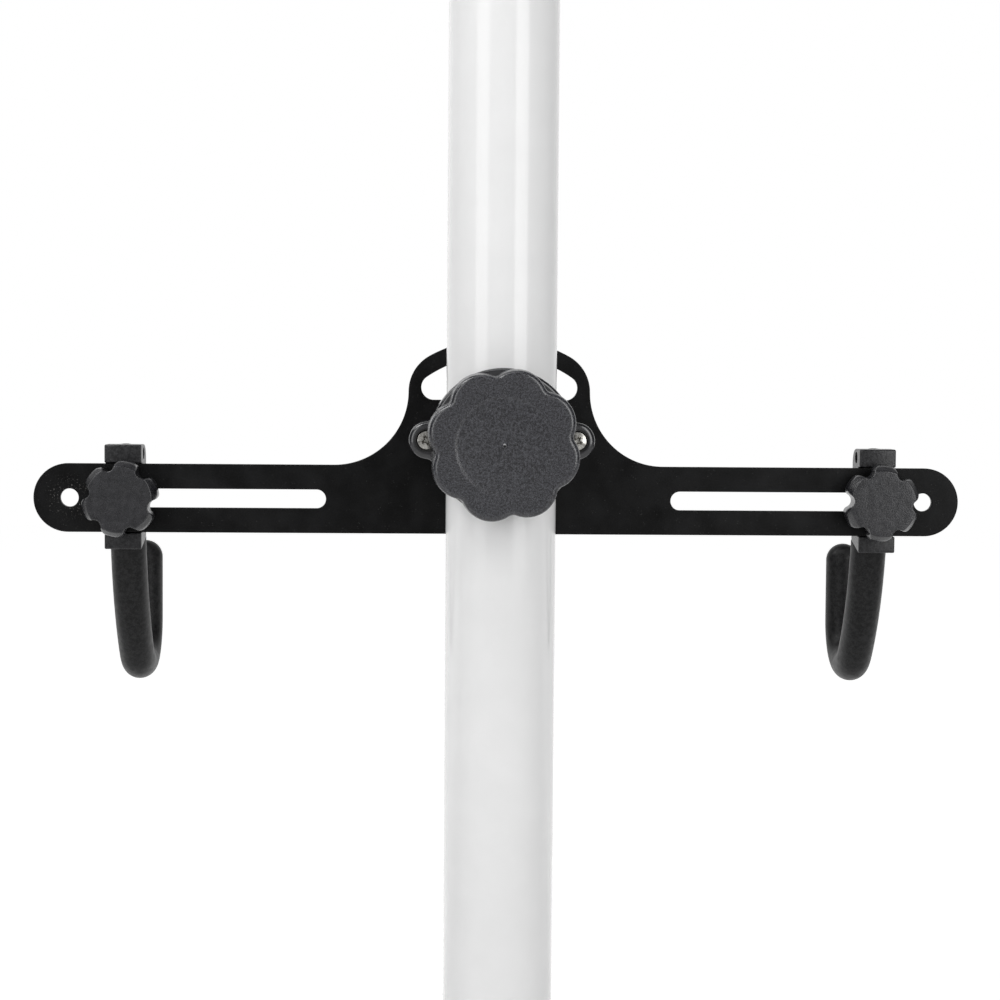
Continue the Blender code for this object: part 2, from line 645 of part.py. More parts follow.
def hook_knob(surface):
    """Notched disc with a sloped rim and a round hub that takes the stud's head."""
    tip = SMALL_KNOB_DIAMETER / 2
    sizes = (tip, SMALL_KNOB_CORNER_RADIUS, SMALL_KNOB_NOTCH_RADIUS, SMALL_KNOB_WAIST / 2)

    def ring_at(limit, depth):
        return upright(scalloped_outline(SMALL_KNOB_LOBES, *sizes, limit), depth)

    face = SMALL_KNOB_FACE_DIAMETER / 2
    back = SMALL_KNOB_BACK - SMALL_KNOB_HUB_LENGTH
    widest = SMALL_KNOB_FRONT + SMALL_KNOB_RIM
    rings = [
        ring_at(tip - SMALL_KNOB_EDGE, back),
        ring_at(tip, back - SMALL_KNOB_EDGE),
        ring_at(tip, widest + SMALL_KNOB_EDGE),
        ring_at(tip - SMALL_KNOB_EDGE / 2, widest),
        ring_at(face + SMALL_KNOB_EDGE / 2, SMALL_KNOB_FRONT + SMALL_KNOB_EDGE / 2),
        ring_at(face, SMALL_KNOB_FRONT),
    ]
    base = solid("hook_knob_left", lofted(rings), surface)
    hub = cylinder(SMALL_KNOB_HUB_DIAMETER / 2, widest, SMALL_KNOB_BACK, SMALL_SIDES, "Y")
    head = hexagon(SMALL_STUD_HEAD_WIDTH + 2 * BORE_GAP)
    pocket_end = SMALL_KNOB_BACK - SMALL_STUD_HEAD_HEIGHT - 2 * SEAT_GAP
    pocket = lofted([upright(head, pocket_end), upright(head, SMALL_KNOB_BACK + 0.01)])
    return carved(base, [hub], [pocket])


def hook_stud(surface):
    head_back = SMALL_KNOB_BACK - SEAT_GAP
    tip = NUT_FRONT + NUT_HEIGHT
    radius = SMALL_STUD_DIAMETER / 2
    return headed_stud(
        "hook_stud_left", SMALL_STUD_HEAD_WIDTH, head_back - SMALL_STUD_HEAD_HEIGHT, head_back,
        radius, tip, 0.8 * radius, 0.1 * radius, surface)


# Hook carrier
def rod_point(distance):
    """Place (y, z) on the rod's straight part, at a distance below its cross pin."""
    return (HOOK_PIN_DEPTH + distance * math.sin(ROD_LEAN), HOOK_PIN_HEIGHT - distance * math.cos(ROD_LEAN))


def carrier_exit():
    """Distance from the cross pin to the carrier's foot, which is square to the rod."""
    ahead = LIP_FRONT - HOOK_PIN_DEPTH
    below = HOOK_PIN_HEIGHT + CARRIER_FOOT
    return ahead * math.sin(ROD_LEAN) + below * math.cos(ROD_LEAN)


def along_rod(mesh, distance):
    """Turn a solid built along Z so that it follows the rod, its origin at a distance below the pin."""
    bmesh.ops.rotate(mesh, verts=mesh.verts, matrix=Matrix.Rotation(ROD_LEAN, 3, "X"))
    y, z = rod_point(distance)
    return moved(mesh, (0.0, y, z))


def carrier_profile():
    """Side view (y, z): two lips that embrace the plate, a rounded back and a leaning foot."""
    back = LIP_FRONT + CARRIER_DEPTH
    half_slot = ARM_WIDTH / 2 + SEAT_GAP
    foot_back = -CARRIER_FOOT + CARRIER_DEPTH * math.tan(ROD_LEAN)
    round_centre = (back - CARRIER_BACK_ROUND, CARRIER_TOP - CARRIER_BACK_ROUND)
    points = [
        (LIP_FRONT, -CARRIER_FOOT),
        (LIP_FRONT, -half_slot),
        (CARRIER_FRONT, -half_slot),
        (CARRIER_FRONT, half_slot),
        (LIP_FRONT, half_slot),
        (LIP_FRONT, CARRIER_TOP),
    ]
    points += arc(round_centre, CARRIER_BACK_ROUND, math.pi / 2, 0.0, 6)
    return [*points, (back, foot_back)]


def hook_carrier(surface):
    """Block behind the plate with a leaning round boss for the rod and a pocket for the nut."""
    half = CARRIER_WIDTH / 2
    profile = carrier_profile()
    sides = [[(x, y, z) for y, z in profile] for x in (-half, half)]
    base = solid("hook_carrier_left", lofted(sides), surface)
    edge = base.modifiers.new("edges", "BEVEL")
    edge.width = CARRIER_EDGE
    edge.segments = 2
    edge.limit_method = "ANGLE"
    edge.angle_limit = math.radians(40.0)
    carved(base)
    bore = ROD_DIAMETER / 2 + BORE_GAP
    exit_distance = carrier_exit()
    boss_radius = bore + BOSS_WALL
    boss = along_rod(cylinder(boss_radius, -exit_distance, 0.0, SMALL_SIDES, "Z"), 0.0)
    pocket = NUT_WIDTH / 2 + BORE_GAP
    pocket_end = NUT_FRONT + NUT_HEIGHT + SEAT_GAP
    reach = CARRIER_WIDTH
    far = LIP_FRONT + CARRIER_DEPTH + boss_radius
    trims = [
        block((-reach, 0.0, CARRIER_TOP - CARRIER_BACK_ROUND), (reach, far, CARRIER_TOP + boss_radius)),
        block((-reach, 0.0, -CARRIER_TOP - boss_radius), (reach, CARRIER_FRONT + CARRIER_EDGE, CARRIER_TOP)),
    ]
    cap = solid("boss", boss, None)
    carved(cap, cuts=trims)
    boss = bmesh.new()
    boss.from_mesh(cap.data)
    bpy.data.objects.remove(cap)
    mouths = []
    for side in (-1, 1):
        start, end = sorted((side * (half - HOOK_PIN_SINK - SEAT_GAP), side * reach))
        mouth = cylinder(HOOK_PIN_MOUTH / 2, start, end, SMALL_SIDES, "X")
        mouths.append(moved(mouth, (0.0, HOOK_PIN_DEPTH, HOOK_PIN_HEIGHT)))
    pin_hole = cylinder(HOOK_PIN_DIAMETER / 2 + BORE_GAP, -reach, reach, SMALL_SIDES, "X")
    cuts = [
        along_rod(cylinder(bore, -exit_distance - 0.01, ROD_ABOVE_PIN + SEAT_GAP, HOOK_SIDES, "Z"), 0.0),
        block((-pocket, CARRIER_FRONT - 0.01, -pocket), (pocket, pocket_end, pocket)),
        moved(pin_hole, (0.0, HOOK_PIN_DEPTH, HOOK_PIN_HEIGHT)),
        *mouths,
    ]
    return carved(base, [boss], cuts)


# Hook
def hook_stations(start, short):
    """Centre line of the hook as (y, z, heading).

    It goes from a distance below the pin to a distance short of the tip. It runs straight
    out of the carrier, sweeps away from the plate, bends up and ends in an upright limb.
    The heading is the angle from straight down, turning away.
    """
    exit_distance = carrier_exit()
    y, z = rod_point(start)
    stations = [(y, z, ROD_LEAN)]
    y, z = rod_point(exit_distance + HOOK_STRAIGHT)
    stations.append((y, z, ROD_LEAN))
    heading = ROD_LEAN
    rest = math.pi - ROD_LEAN - HOOK_SWEEP_ANGLE
    bends = ((HOOK_SWEEP_RADIUS, HOOK_SWEEP_ANGLE, 4), (HOOK_BEND_RADIUS, rest, 10))
    for radius, turn, steps in bends:
        centre_y = y + radius * math.cos(heading)
        centre_z = z + radius * math.sin(heading)
        for i in range(1, steps + 1):
            angle = heading + turn * i / steps
            y = centre_y - radius * math.cos(angle)
            z = centre_z - radius * math.sin(angle)
            stations.append((y, z, angle))
        heading += turn
    stations.append((y, z + HOOK_TIP_LENGTH - short, heading))
    return stations


def ring_round(station, radius):
    """Ring of points square to the centre line at a station."""
    y, z, heading = station
    points = []
    for i in range(HOOK_SIDES):
        angle = 2 * math.pi * i / HOOK_SIDES
        out = radius * math.sin(angle)
        points.append((radius * math.cos(angle), y + out * math.cos(heading), z + out * math.sin(heading)))
    return points


def hook_rod(surface):
    """Round bar bent into a J, cross-drilled at the top."""
    radius = ROD_DIAMETER / 2
    rings = [ring_round(station, radius) for station in hook_stations(-ROD_ABOVE_PIN, ROD_SHORT_OF_TIP)]
    base = solid("hook_rod_left", lofted(rings), surface)
    drill = cylinder(HOOK_PIN_DIAMETER / 2 + BORE_GAP, -ROD_DIAMETER, ROD_DIAMETER, SMALL_SIDES, "X")
    return carved(base, cuts=[moved(drill, (0.0, HOOK_PIN_DEPTH, HOOK_PIN_HEIGHT))])


def hook_sleeve(surface):
    """Soft coat over the bar, from the carrier's foot to a round tip."""
    outer = SLEEVE_DIAMETER / 2
    inner = ROD_DIAMETER / 2 + BORE_GAP
    start = carrier_exit() + SEAT_GAP
    inside = hook_stations(start, ROD_SHORT_OF_TIP - SEAT_GAP)
    outside = hook_stations(start, 0.0)
    rings = [ring_round(station, inner) for station in reversed(inside)]
    rings += [ring_round(station, outer) for station in outside]
    y, z, heading = outside[-1]
    for step in range(1, 5):
        angle = step * math.pi / 10
        rings.append(ring_round((y, z + outer * math.sin(angle), heading), outer * math.cos(angle)))
    return solid("hook_sleeve_left", lofted(rings), surface)


def hook_pin(surface):
    """Hollow cross pin that keeps the bar in its carrier."""
    half = CARRIER_WIDTH / 2 - HOOK_PIN_SINK
    tube = ring(HOOK_PIN_BORE / 2, HOOK_PIN_DIAMETER / 2, -half, half, SMALL_SIDES, "X")
    return solid("hook_pin_left", moved(tube, (0.0, HOOK_PIN_DEPTH, HOOK_PIN_HEIGHT)), surface)


def square(width):
    half = width / 2
    return [(-half, -half), (half, -half), (half, half), (-half, half)]


# Assembly
def build():
    for old in list(bpy.data.objects):
        bpy.data.objects.remove(old)

    white = material("white_powder_coat", (0.80, 0.81, 0.82), 0.22, 0.0)
    black_coat = material("black_powder_coat", (0.012, 0.012, 0.013), 0.38, 0.0)
    grey_plastic = material("grained_dark_plastic", (0.045, 0.046, 0.050), 0.60, 0.0)
    liner_plastic = material("natural_liner_plastic", (0.62, 0.62, 0.58), 0.45, 0.0)
    cast_grey = material("coated_casting", (0.050, 0.050, 0.053), 0.55, 0.0)
    rubber = material("soft_coat", (0.030, 0.030, 0.031), 0.75, 0.0)
    zinc = material("zinc_plated_steel", (0.66, 0.66, 0.64), 0.30, 1.0)
    dark_steel = material("black_steel", (0.05, 0.05, 0.05), 0.45, 0.8)
    brass = material("brass", (0.70, 0.52, 0.26), 0.35, 1.0)

    pole = empty("pole_frame", (0.0, 0.0, 0.0))
    place(pole_tube(white), pole)
    collar = empty("collar_axis", (0.0, 0.0, CLAMP_HEIGHT), pole)
    place(clamp_liner(liner_plastic), collar)
    place(clamp_body(grey_plastic), collar)
    place(clamp_saddle(grey_plastic), collar)
    stud_axis = empty("stud_axis", (0.0, 0.0, -STUD_DROP), collar)
    place(knob_insert(brass), stud_axis)
    place(pressure_pad(rubber), stud_axis)
    place(clamp_knob(grey_plastic), stud_axis, turn=KNOB_PHASE)
    place(clamp_stud(zinc), stud_axis, turn=KNOB_PHASE)

    screw = clamp_screw(zinc)
    washer_front = PLATE_BACK + SEAT_GAP
    nut_front = washer_front + SCREW_WASHER_THICKNESS + SEAT_GAP
    screw_hole = SCREW_DIAMETER / 2 + BORE_GAP
    washer_back = washer_front + SCREW_WASHER_THICKNESS
    screw_washer = ring(screw_hole, SCREW_WASHER_DIAMETER / 2, washer_front, washer_back, SMALL_SIDES, "Y")
    washer = solid("clamp_washer_left", screw_washer, zinc)
    lock_nut = nut("clamp_nut_left", hexagon(SCREW_NUT_WIDTH), screw_hole, nut_front, SCREW_NUT_HEIGHT, zinc)
    for made in (screw, washer, lock_nut):
        place(made, collar, (-SCREW_SPACING / 2, 0.0, 0.0))
        twin = copy_of(made, made.name.replace("left", "right"))
        place(twin, collar, (SCREW_SPACING / 2, 0.0, 0.0))

    arm = empty("arm_centre", (0.0, 0.0, ARM_HEIGHT_ON_POLE), pole)
    place(arm_plate(black_coat), arm)

    hole = SMALL_STUD_DIAMETER / 2 + BORE_GAP
    washer_back = PLATE_FRONT - SEAT_GAP
    knob_washer = ring(hole, SMALL_WASHER_DIAMETER / 2, SMALL_WASHER_FRONT, washer_back, SMALL_SIDES, "Y")
    pieces = [
        hook_carrier(cast_grey),
        hook_rod(dark_steel),
        hook_sleeve(rubber),
        hook_pin(dark_steel),
        nut("hook_nut_left", square(NUT_WIDTH), hole, NUT_FRONT, NUT_HEIGHT, zinc),
        solid("hook_washer_left", knob_washer, zinc),
        hook_knob(grey_plastic),
        hook_stud(zinc),
    ]
    for side, inset in HOOK_INSETS.items():
        x = (ARM_LENGTH / 2 - inset) * (1 if side == "right" else -1)
        axis = empty(f"hook_axis_{side}", (x, 0.0, 0.0), arm)
        for made in pieces:
            piece = made if side == "left" else copy_of(made, made.name.replace("left", side))
            turns = "knob" in made.name or "stud" in made.name
            place(piece, axis, turn=SMALL_KNOB_PHASES[side] if turns else 0.0)


build()
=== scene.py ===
"""Bicycle cradle on a pole section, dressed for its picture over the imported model.

Metres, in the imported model's frame: +Z up the pole, +X along the arm plate, and +Y
from the knobs to the hooks. Each piece is a surface worked out with numpy, and only
the mouldings, castings and screws are then joined and cut as solids.
"""
from math import acos, atan2, ceil, copysign, cos, pi, radians, sin, sqrt, tan

import bmesh
import bpy
import numpy as np
from mathutils import Matrix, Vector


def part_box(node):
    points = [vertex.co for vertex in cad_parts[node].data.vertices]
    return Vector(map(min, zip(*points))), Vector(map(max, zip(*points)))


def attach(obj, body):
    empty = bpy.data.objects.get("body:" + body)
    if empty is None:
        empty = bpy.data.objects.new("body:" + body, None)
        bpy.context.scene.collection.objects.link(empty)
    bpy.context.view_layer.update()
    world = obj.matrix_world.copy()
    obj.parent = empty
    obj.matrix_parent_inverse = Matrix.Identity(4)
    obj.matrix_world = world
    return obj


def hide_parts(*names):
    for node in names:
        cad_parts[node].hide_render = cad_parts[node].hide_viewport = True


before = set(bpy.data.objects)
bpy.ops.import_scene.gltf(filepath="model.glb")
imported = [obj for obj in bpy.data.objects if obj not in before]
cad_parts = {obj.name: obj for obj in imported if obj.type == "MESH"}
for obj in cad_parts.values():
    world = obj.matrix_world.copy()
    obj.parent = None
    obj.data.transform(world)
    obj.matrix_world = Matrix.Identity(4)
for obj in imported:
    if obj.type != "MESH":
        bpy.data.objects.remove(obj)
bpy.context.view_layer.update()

ACROSS = (1.0, 0.0, 0.0)
ALONG = (0.0, 1.0, 0.0)  # as the axes of the knobs and screws run
UPWARD = (0.0, 0.0, 1.0)

# Meshes
MERGE = 1e-6  # points nearer than this become one
FACET = 1e-5  # most that a facet may lie off its arc
FLAT_BAND = 1.2  # inset of the flat band beside a rounded edge, in edge radii
RUN_ON = 0.003  # by which joined solids run into each other, or past a face cut later
GAP = 0.0003  # left between faces that rest on each other
BROKEN_EDGE = 0.0004

# Camera, solved from the photograph's edges: millimetres from the pole's axis and the
# arm's centre line, and radians
CAMERA_PLACE = (-33.0, -1021.0, 56.9)
CAMERA_YAW = 0.03199
CAMERA_PITCH = 0.05403
CAMERA_ROLL = -0.00751
CAMERA_FOCAL_PIXELS = 2250.0
PICTURE_PIXELS = 1000.0
SENSOR = 36.0

# Pole
POLE_RADIUS = 0.025
POLE_WALL = 0.0015
POLE_BODY = 0.660
SWAGE = 0.006

# Arm plate
ARM_HALF = 0.016
END_HOLE_INSET = 0.0167
END_HOLE_RADIUS = 0.00425
SLOT_RADIUS = 0.0044
SLOT_INNER_END = 0.0807
SLOT_END_INSET = 0.0321
HUMP_HALF = 0.0424
CROWN_RADIUS = 0.0678
SHOULDER_RADIUS = 0.019
WINDOW_BAND = 0.0078
WINDOW_SILL = 0.0467
WINDOW_END_RADIUS = 0.0058
PLATE_EDGE = 0.0004

# Collar
CLAMP_RISE = 0.0289
SCREW_X = 0.0339
EAR_X = 0.0334
EAR_RADIUS = 0.0084
EAR_FILLET = 0.0045
EAR_FRONT = -0.014
EAR_EDGE = 0.0023
EAR_SINK = 0.00006  # fillets run this far into the housing's wall
EAR_ROOT = 0.006  # and the ear goes on this far
EAR_ROOT_ROUND = 0.002
HOUSING_RADIUS = 0.0326
HOUSING_FRONT = -0.031
HOUSING_EDGE = 0.002
COLLAR_BACK = 0.0297
LIP_RADIUS = 0.0258
GROOVE_RADIUS = 0.0272
GROOVE_HALF = 0.0153
BAY_HALF = 0.0275
SADDLE_HALF = 0.018
SADDLE_FRONT = 0.0121
STUD_DROP = 0.0013  # big knob's axis below the collar's centre
NECK_RADIUS = 0.012
NECK_FRONT = -0.0412
PAD_POCKET_RADIUS = 0.0103
PAD_POCKET_END = -0.0330
INSERT_BORE = 0.0073
COUNTERBORE = 0.0053
COUNTERBORE_FLOOR = -0.0095

# Screws through the ears
SCREW_RADIUS = 0.0025
SCREW_HEAD_RADIUS = 0.00455
SCREW_HEAD_HEIGHT = 0.0033
SCREW_HEAD_ROUND = 0.0009
SCREW_CROWN = 0.00046
SCREW_PITCH = 0.0008
SCREW_HOLE = 0.0028
SCREW_TURNS = {"left": 0.45, "right": 1.1}
THREAD_DEPTH = 0.0004
WING_MOUTH = (0.00245, 0.00070)  # cross recess: half length and half width of each bar
WING_FLOOR = (0.00110, 0.00032)
WING_DEPTH = 0.0019
WELL_MOUTH = 0.00135  # radius of the cone in the middle of the cross
WELL_FLOOR = 0.00055
WELL_DEPTH = 0.0021
NUT_FLATS = 0.004  # half the width across flats
NUT_SHOULDER = 0.0037  # height of the hexagon, under the round collar
NYLON_INNER = 0.00255
NYLON_OUTER = 0.0029

# Big knob
KNOB_LOBES = 8
KNOB_TIP = 0.0342
KNOB_LOBE = 0.014
KNOB_NOTCH = 0.003
KNOB_TURN = radians(-15.5)
KNOB_EDGE = 0.0024
KNOB_WALL = 0.003
KNOB_TAPER = 0.0006  # lean of the skirt from its foot to the face
KNOB_FACE_WALL = 0.0032
KNOB_HUB = 0.0112
KNOB_HUB_BORE = 0.0053
KNOB_HUB_RISE = 0.0015  # of the hub over the stud's head
KNOB_SOFT = 0.0008  # round at the skirt's foot and at the hub's root
KNOB_DISH = 0.0213
KNOB_RING = ((-0.0012, 0.00036), (-0.0008, 0.00031), (0.0002, 0.00005), (0.0006, 0.0))
KNOB_NUB = (  # radius and depth of a small hole and the raised ring round it
    (0.0, 0.0012), (0.0003, 0.0011), (0.00045, -0.0001), (0.0006, -0.0004), (0.0009, -0.0003),
    (0.0012, 0.0001), (0.0014, 0.00036))
STUD_HEAD = 0.0024
STUD_HEAD_ROOM = 0.0096

# Small knobs
SMALL_LOBES = 6
SMALL_TIP = 0.0177
SMALL_CORNER = 0.0028
SMALL_NOTCH = 0.0032
SMALL_WAIST = 0.0136
SMALL_FACE = 0.0152
SMALL_RIM = 0.0044
SMALL_TURNS = {"left": radians(18.3), "right": radians(26.0)}
SMALL_EDGE = 0.0008
SMALL_ROUND = 0.0007
SMALL_NOTCH_EDGE = 0.0005
SMALL_HUB_RISE = 0.0028
SMALL_HUB = 0.0105
SMALL_HEAD_ROOM = 0.0078

# Hook carrier and hook
CARRIER_HALF = 0.00855
CARRIER_DEPTH = 0.0186
CARRIER_TOP = 0.0248
CARRIER_FOOT = 0.0242
CARRIER_BACK_ROUND = 0.007
CARRIER_EDGE = 0.0006
LIP_PROUD = 0.0004
PIN_SETBACK = 0.0092
PIN_HEIGHT = 0.0206
PIN_RADIUS = 0.002
PIN_BORE = 0.0011
PIN_MOUTH = 0.0028
PIN_SINK = 0.002
PIN_SLIT = radians(18.0)  # half the angle of the pin's slit
ROD_RADIUS = 0.004
ROD_LEAN = radians(14.0)
ROD_TOP = 0.0039  # end of the rod's bore, above the pin
ROD_SHORT = 0.002  # rod's end, short of the hook's straight tip
BOSS_RADIUS = 0.0083
BOSS_SHOULDER = 0.010  # distances below the pin
BOSS_TOP = 0.002
NUT_POCKET = 0.0068
NUT_POCKET_DEPTH = 0.0041
SLEEVE_RADIUS = 0.0084
SLEEVE_EDGE = 0.0007
HOOK_STRAIGHT = 0.0045
HOOK_SWEEP_RADIUS = 0.120
HOOK_SWEEP = radians(30.0)
HOOK_BEND_RADIUS = 0.0205
HOOK_TIP_LENGTH = 0.0297
HOOK_POINTS = (16, 40, 56, 13)  # on the straight, the sweep, the bend and the tip
WASHER_HOLE = 0.0043

# Finishes: the range of noise over which a pattern comes in, and shares of its own size or scale
GLOSS_PATCH = 0.7
GLOSS_NOISE = (0.3, 0.7)
FLECK_FADE = 1.6
FLECK_PATCH = 0.35
FLECK_NOISE = (0.58, 0.66)
MARK_FADE = (0.9, 1.9)
MARK_SPECKS = 1100.0  # per metre
MARK_NOISE = 0.06

# Light
STUDIO_AHEAD = 0.48  # what a reflection shows of the studio behind the camera
STUDIO_BESIDE = 0.08  # and what it shows of the studio's sides
AHEAD_EDGES = (-0.97, -0.5)  # share of Y in a direction where the first turns into the second
BEHIND_EDGES = (0.45, 0.85)  # and where that turns into the white behind the object
FILL_LOW = 0.235  # world's light from the right
FILL_HIGH = 0.470  # world's light from the left
FILL_FROM = (-0.60, -0.80, 0.0)  # where it is strongest
FLOOR_Z = -0.0800  # under the hooks at their lowest
FLOOR_REACH = 6.0
FLOOR_GLOW = 0.71  # what the lit floor lacks to be white, far from the pole
FIELD_GLOW = 0.38  # where that line would start at the pole
FIELD_REACH = 1.8  # and where it ends
FOOT_GLOW = 0.26  # what it lacks at the pole's foot, where the lamps are near
FOOT_GAIN = 0.5  # and how much more a metre away

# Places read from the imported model
plate_low, plate_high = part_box("arm_plate")
ARM_X = plate_high[0]
PLATE_FRONT = plate_low[1]
PLATE_BACK = plate_high[1]
ARM_Z = plate_low[2] + ARM_HALF
CLAMP_Z = ARM_Z + CLAMP_RISE
KNOB_Z = CLAMP_Z - STUD_DROP
CLAMP_MIDDLE = (0.0, 0.0, CLAMP_Z)
POLE_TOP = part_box("pole_tube")[1][2]


# Shaping helpers
def rounded(corners, radii):
    """Arcs that round a closed outline's corners: rows of centre, radius, start and sweep.

    The outline goes round anticlockwise. The arc of radius r at a corner touches both
    sides at r times the tangent of half the turn from the corner, and its centre stands
    r off the sides, on the inner side of the turn.
    """
    point = np.asarray(corners, float)
    radius = np.broadcast_to(np.asarray(radii, float), len(point))
    into = point - np.roll(point, 1, axis=0)
    out = np.roll(point, -1, axis=0) - point
    into /= np.linalg.norm(into, axis=1)[:, None]
    out /= np.linalg.norm(out, axis=1)[:, None]
    turn = np.arctan2(into[:, 0] * out[:, 1] - into[:, 1] * out[:, 0], (into * out).sum(axis=1))
    inner = np.stack([-into[:, 1], into[:, 0]], axis=1) * np.sign(turn)[:, None]
    centre = point - into * (radius * np.tan(np.abs(turn) / 2))[:, None] + inner * radius[:, None]
    start = np.arctan2(-inner[:, 1], -inner[:, 0])
    return np.column_stack([centre, radius, start, turn])


def followed(arcs, inset=0.0, step=radians(6.0)):
    """Points along a chain of arcs, drawn in by an inset.

    Outer arcs shrink, at most to a point, and hollow arcs grow. Each step is short
    enough to stay within FACET of its arc.
    """
    runs = []
    for x, z, radius, start, sweep in np.asarray(arcs, float):
        fine = min(step, 2 * acos(1 - min(1.0, FACET / max(radius, FACET))))
        count = max(2, ceil(abs(sweep) / fine) + 1)
        angle = start + sweep * np.linspace(0.0, 1.0, count)
        reach = max(radius - inset * copysign(1.0, sweep), 0.0)
        runs.append(np.stack([x + reach * np.cos(angle), z + reach * np.sin(angle)], axis=1))
    return np.concatenate(runs)


def circle(x, z, radius):
    """A round hole as one hollow arc, clockwise and a 64th short of a turn, which its rings then close."""
    return [(x, z, radius, 0.0, -2 * pi * (1 - 1 / 64))]


def once_round(sides):
    """Even angles once round a circle."""
    return np.linspace(0.0, 2 * pi, sides, endpoint=False)


def looped(rows):
    """Rows of a profile or of rings, carried back to the first one."""
    return np.concatenate([rows, rows[:1]])


def quarter(edge, steps=4):
    """Inset and depth along a quarter round of a given radius, from the flat to the wall."""
    angle = np.linspace(0.0, pi / 2, steps + 1)
    return np.stack([edge * (1 - np.sin(angle)), edge * (1 - np.cos(angle))], axis=1)


def strips(points):
    """Vertices and quads of a grid of points whose rows are closed rings."""
    rows, columns = points.shape[:2]
    index = np.arange(rows * columns).reshape(rows, columns)
    beside = np.roll(index, -1, axis=1)
    quads = np.stack([index[:-1], beside[:-1], beside[1:], index[1:]], axis=-1)
    return points.reshape(-1, 3), quads.reshape(-1, 4)


def ordered(first, second, third, axes):
    """Stack three coordinates, named by the axis that each runs along, into x, y and z."""
    parts = dict(zip(axes, np.broadcast_arrays(first, second, third)))
    return np.stack([parts["X"], parts["Y"], parts["Z"]], axis=-1)


def facing(x, z, radius, angle, depth):
    """Points at a radius and angle round an axis that runs from front to back, at a depth along it."""
    return ordered(x + radius * np.cos(angle), depth, z + radius * np.sin(angle), "XYZ")


def closed_mesh(name, grids, flats=()):
    """A mesh from grids of closed rings: doubles merged, flats filled, and faces turned outwards.

    flats gives an axis and two distances along it, where the open rings are filled.
    """
    verts, faces, count = [], [], 0
    for grid in grids:
        points, quads = strips(grid)
        verts.append(points)
        faces.append(quads + count)
        count += len(points)
    data = bpy.data.meshes.new(name)
    data.from_pydata(np.concatenate(verts).tolist(), [], np.concatenate(faces).tolist())
    shape = bmesh.new()
    shape.from_mesh(data)
    bmesh.ops.remove_doubles(shape, verts=shape.verts, dist=MERGE)
    if flats:
        axis, *depths = flats
        for depth in depths:
            rims = [edge for edge in shape.edges
                    if edge.is_boundary and abs(edge.verts[0].co[axis] - depth) < MERGE]
            bmesh.ops.triangle_fill(shape, use_beauty=True, edges=rims)
    bmesh.ops.recalc_face_normals(shape, faces=shape.faces)
    shape.to_mesh(data)
    shape.free()
    return data


def slab(name, loops, near, far, edge, axes="XZY"):
    """A flat plate between two depths, with every edge rounded.

    A profile of quarter round, wall and quarter round is carried round the outline and
    each hole, and both flats are filled. A narrow flat band runs beside each round.
    """
    first = quarter(edge) + (0.0, near)
    last = quarter(edge)[::-1] * (1.0, -1.0) + (0.0, far)
    profile = np.vstack([(FLAT_BAND * edge, near), first, last, (FLAT_BAND * edge, far)])
    grids = []
    for loop in loops:
        rings = [followed(loop, inset) for inset, _ in profile]
        grids.append(np.stack([ordered(ring[:, 0], ring[:, 1], depth, axes)
                               for ring, (_, depth) in zip(rings, profile)]))
    return closed_mesh(name, grids, ("XYZ".index(axes[2]), near, far))


def turned(profile, centre, axis, sides=96):
    """Rings of points: a profile of radius and distance, carried once round an axis."""
    radius, along = np.asarray(profile, float).T
    axis = np.asarray(axis, float) / np.linalg.norm(axis)
    first = np.cross(axis, ACROSS if abs(axis[0]) < 0.9 else UPWARD)
    first /= np.linalg.norm(first)
    second = np.cross(axis, first)
    angle = once_round(sides)
    round_it = np.cos(angle)[:, None] * first + np.sin(angle)[:, None] * second
    return np.asarray(centre) + radius[:, None, None] * round_it + along[:, None, None] * axis


def softened(corners, radii, step=radians(18.0)):
    """An open profile with its inner corners rounded; its first and last points stay."""
    point = np.asarray(corners, float)
    arcs = rounded(point, [0.0, *np.broadcast_to(radii, len(point) - 2), 0.0])
    middle = followed(arcs[1:-1], step=step)
    return np.vstack([point[:1], middle, point[-1:]])


def lobed(angle, lobes, tip, lobe, notch, inset):
    """Distance to a lobed outline at an angle from a lobe's crest, drawn in by an inset.

    Each lobe is a circle of radius lobe less inset. Between two lobes the outline
    follows a circle of radius notch plus inset that touches them both.
    """
    half = pi / lobes
    off = np.abs((angle + half) % (2 * half) - half)
    crest_at = tip - lobe
    aside = crest_at * sin(half)
    hollow_at = crest_at * cos(half) + sqrt((lobe + notch) ** 2 - aside ** 2)
    lean = atan2(hollow_at * sin(half), hollow_at * cos(half) - crest_at)
    round_lobe = lobe - inset
    round_notch = notch + inset
    change = np.arctan2(round_lobe * sin(lean), crest_at + round_lobe * cos(lean))
    bulge = np.maximum(round_lobe ** 2 - (crest_at * np.sin(off)) ** 2, 0)
    crest = crest_at * np.cos(off) + np.sqrt(bulge)
    away = half - off
    dip = np.maximum(round_notch ** 2 - (hollow_at * np.sin(away)) ** 2, 0)
    valley = hollow_at * np.cos(away) - np.sqrt(dip)
    return np.where(off <= change, crest, valley)


def knob_rings(profile, outline, turn, centre, samples):
    """Rings of a knob: each row of the profile is a share of lobes, a radius or inset, and a depth.

    A share of 0 gives a plain circle of that radius and a share of 1 the lobed outline
    drawn in by that inset.
    """
    share, size, depth = (np.asarray(column)[:, None] for column in zip(*profile))
    angle = once_round(samples)[None, :]
    reach = np.where(share > 0.5, lobed(angle, *outline, size), size)
    return facing(*centre, reach, angle + turn, depth)


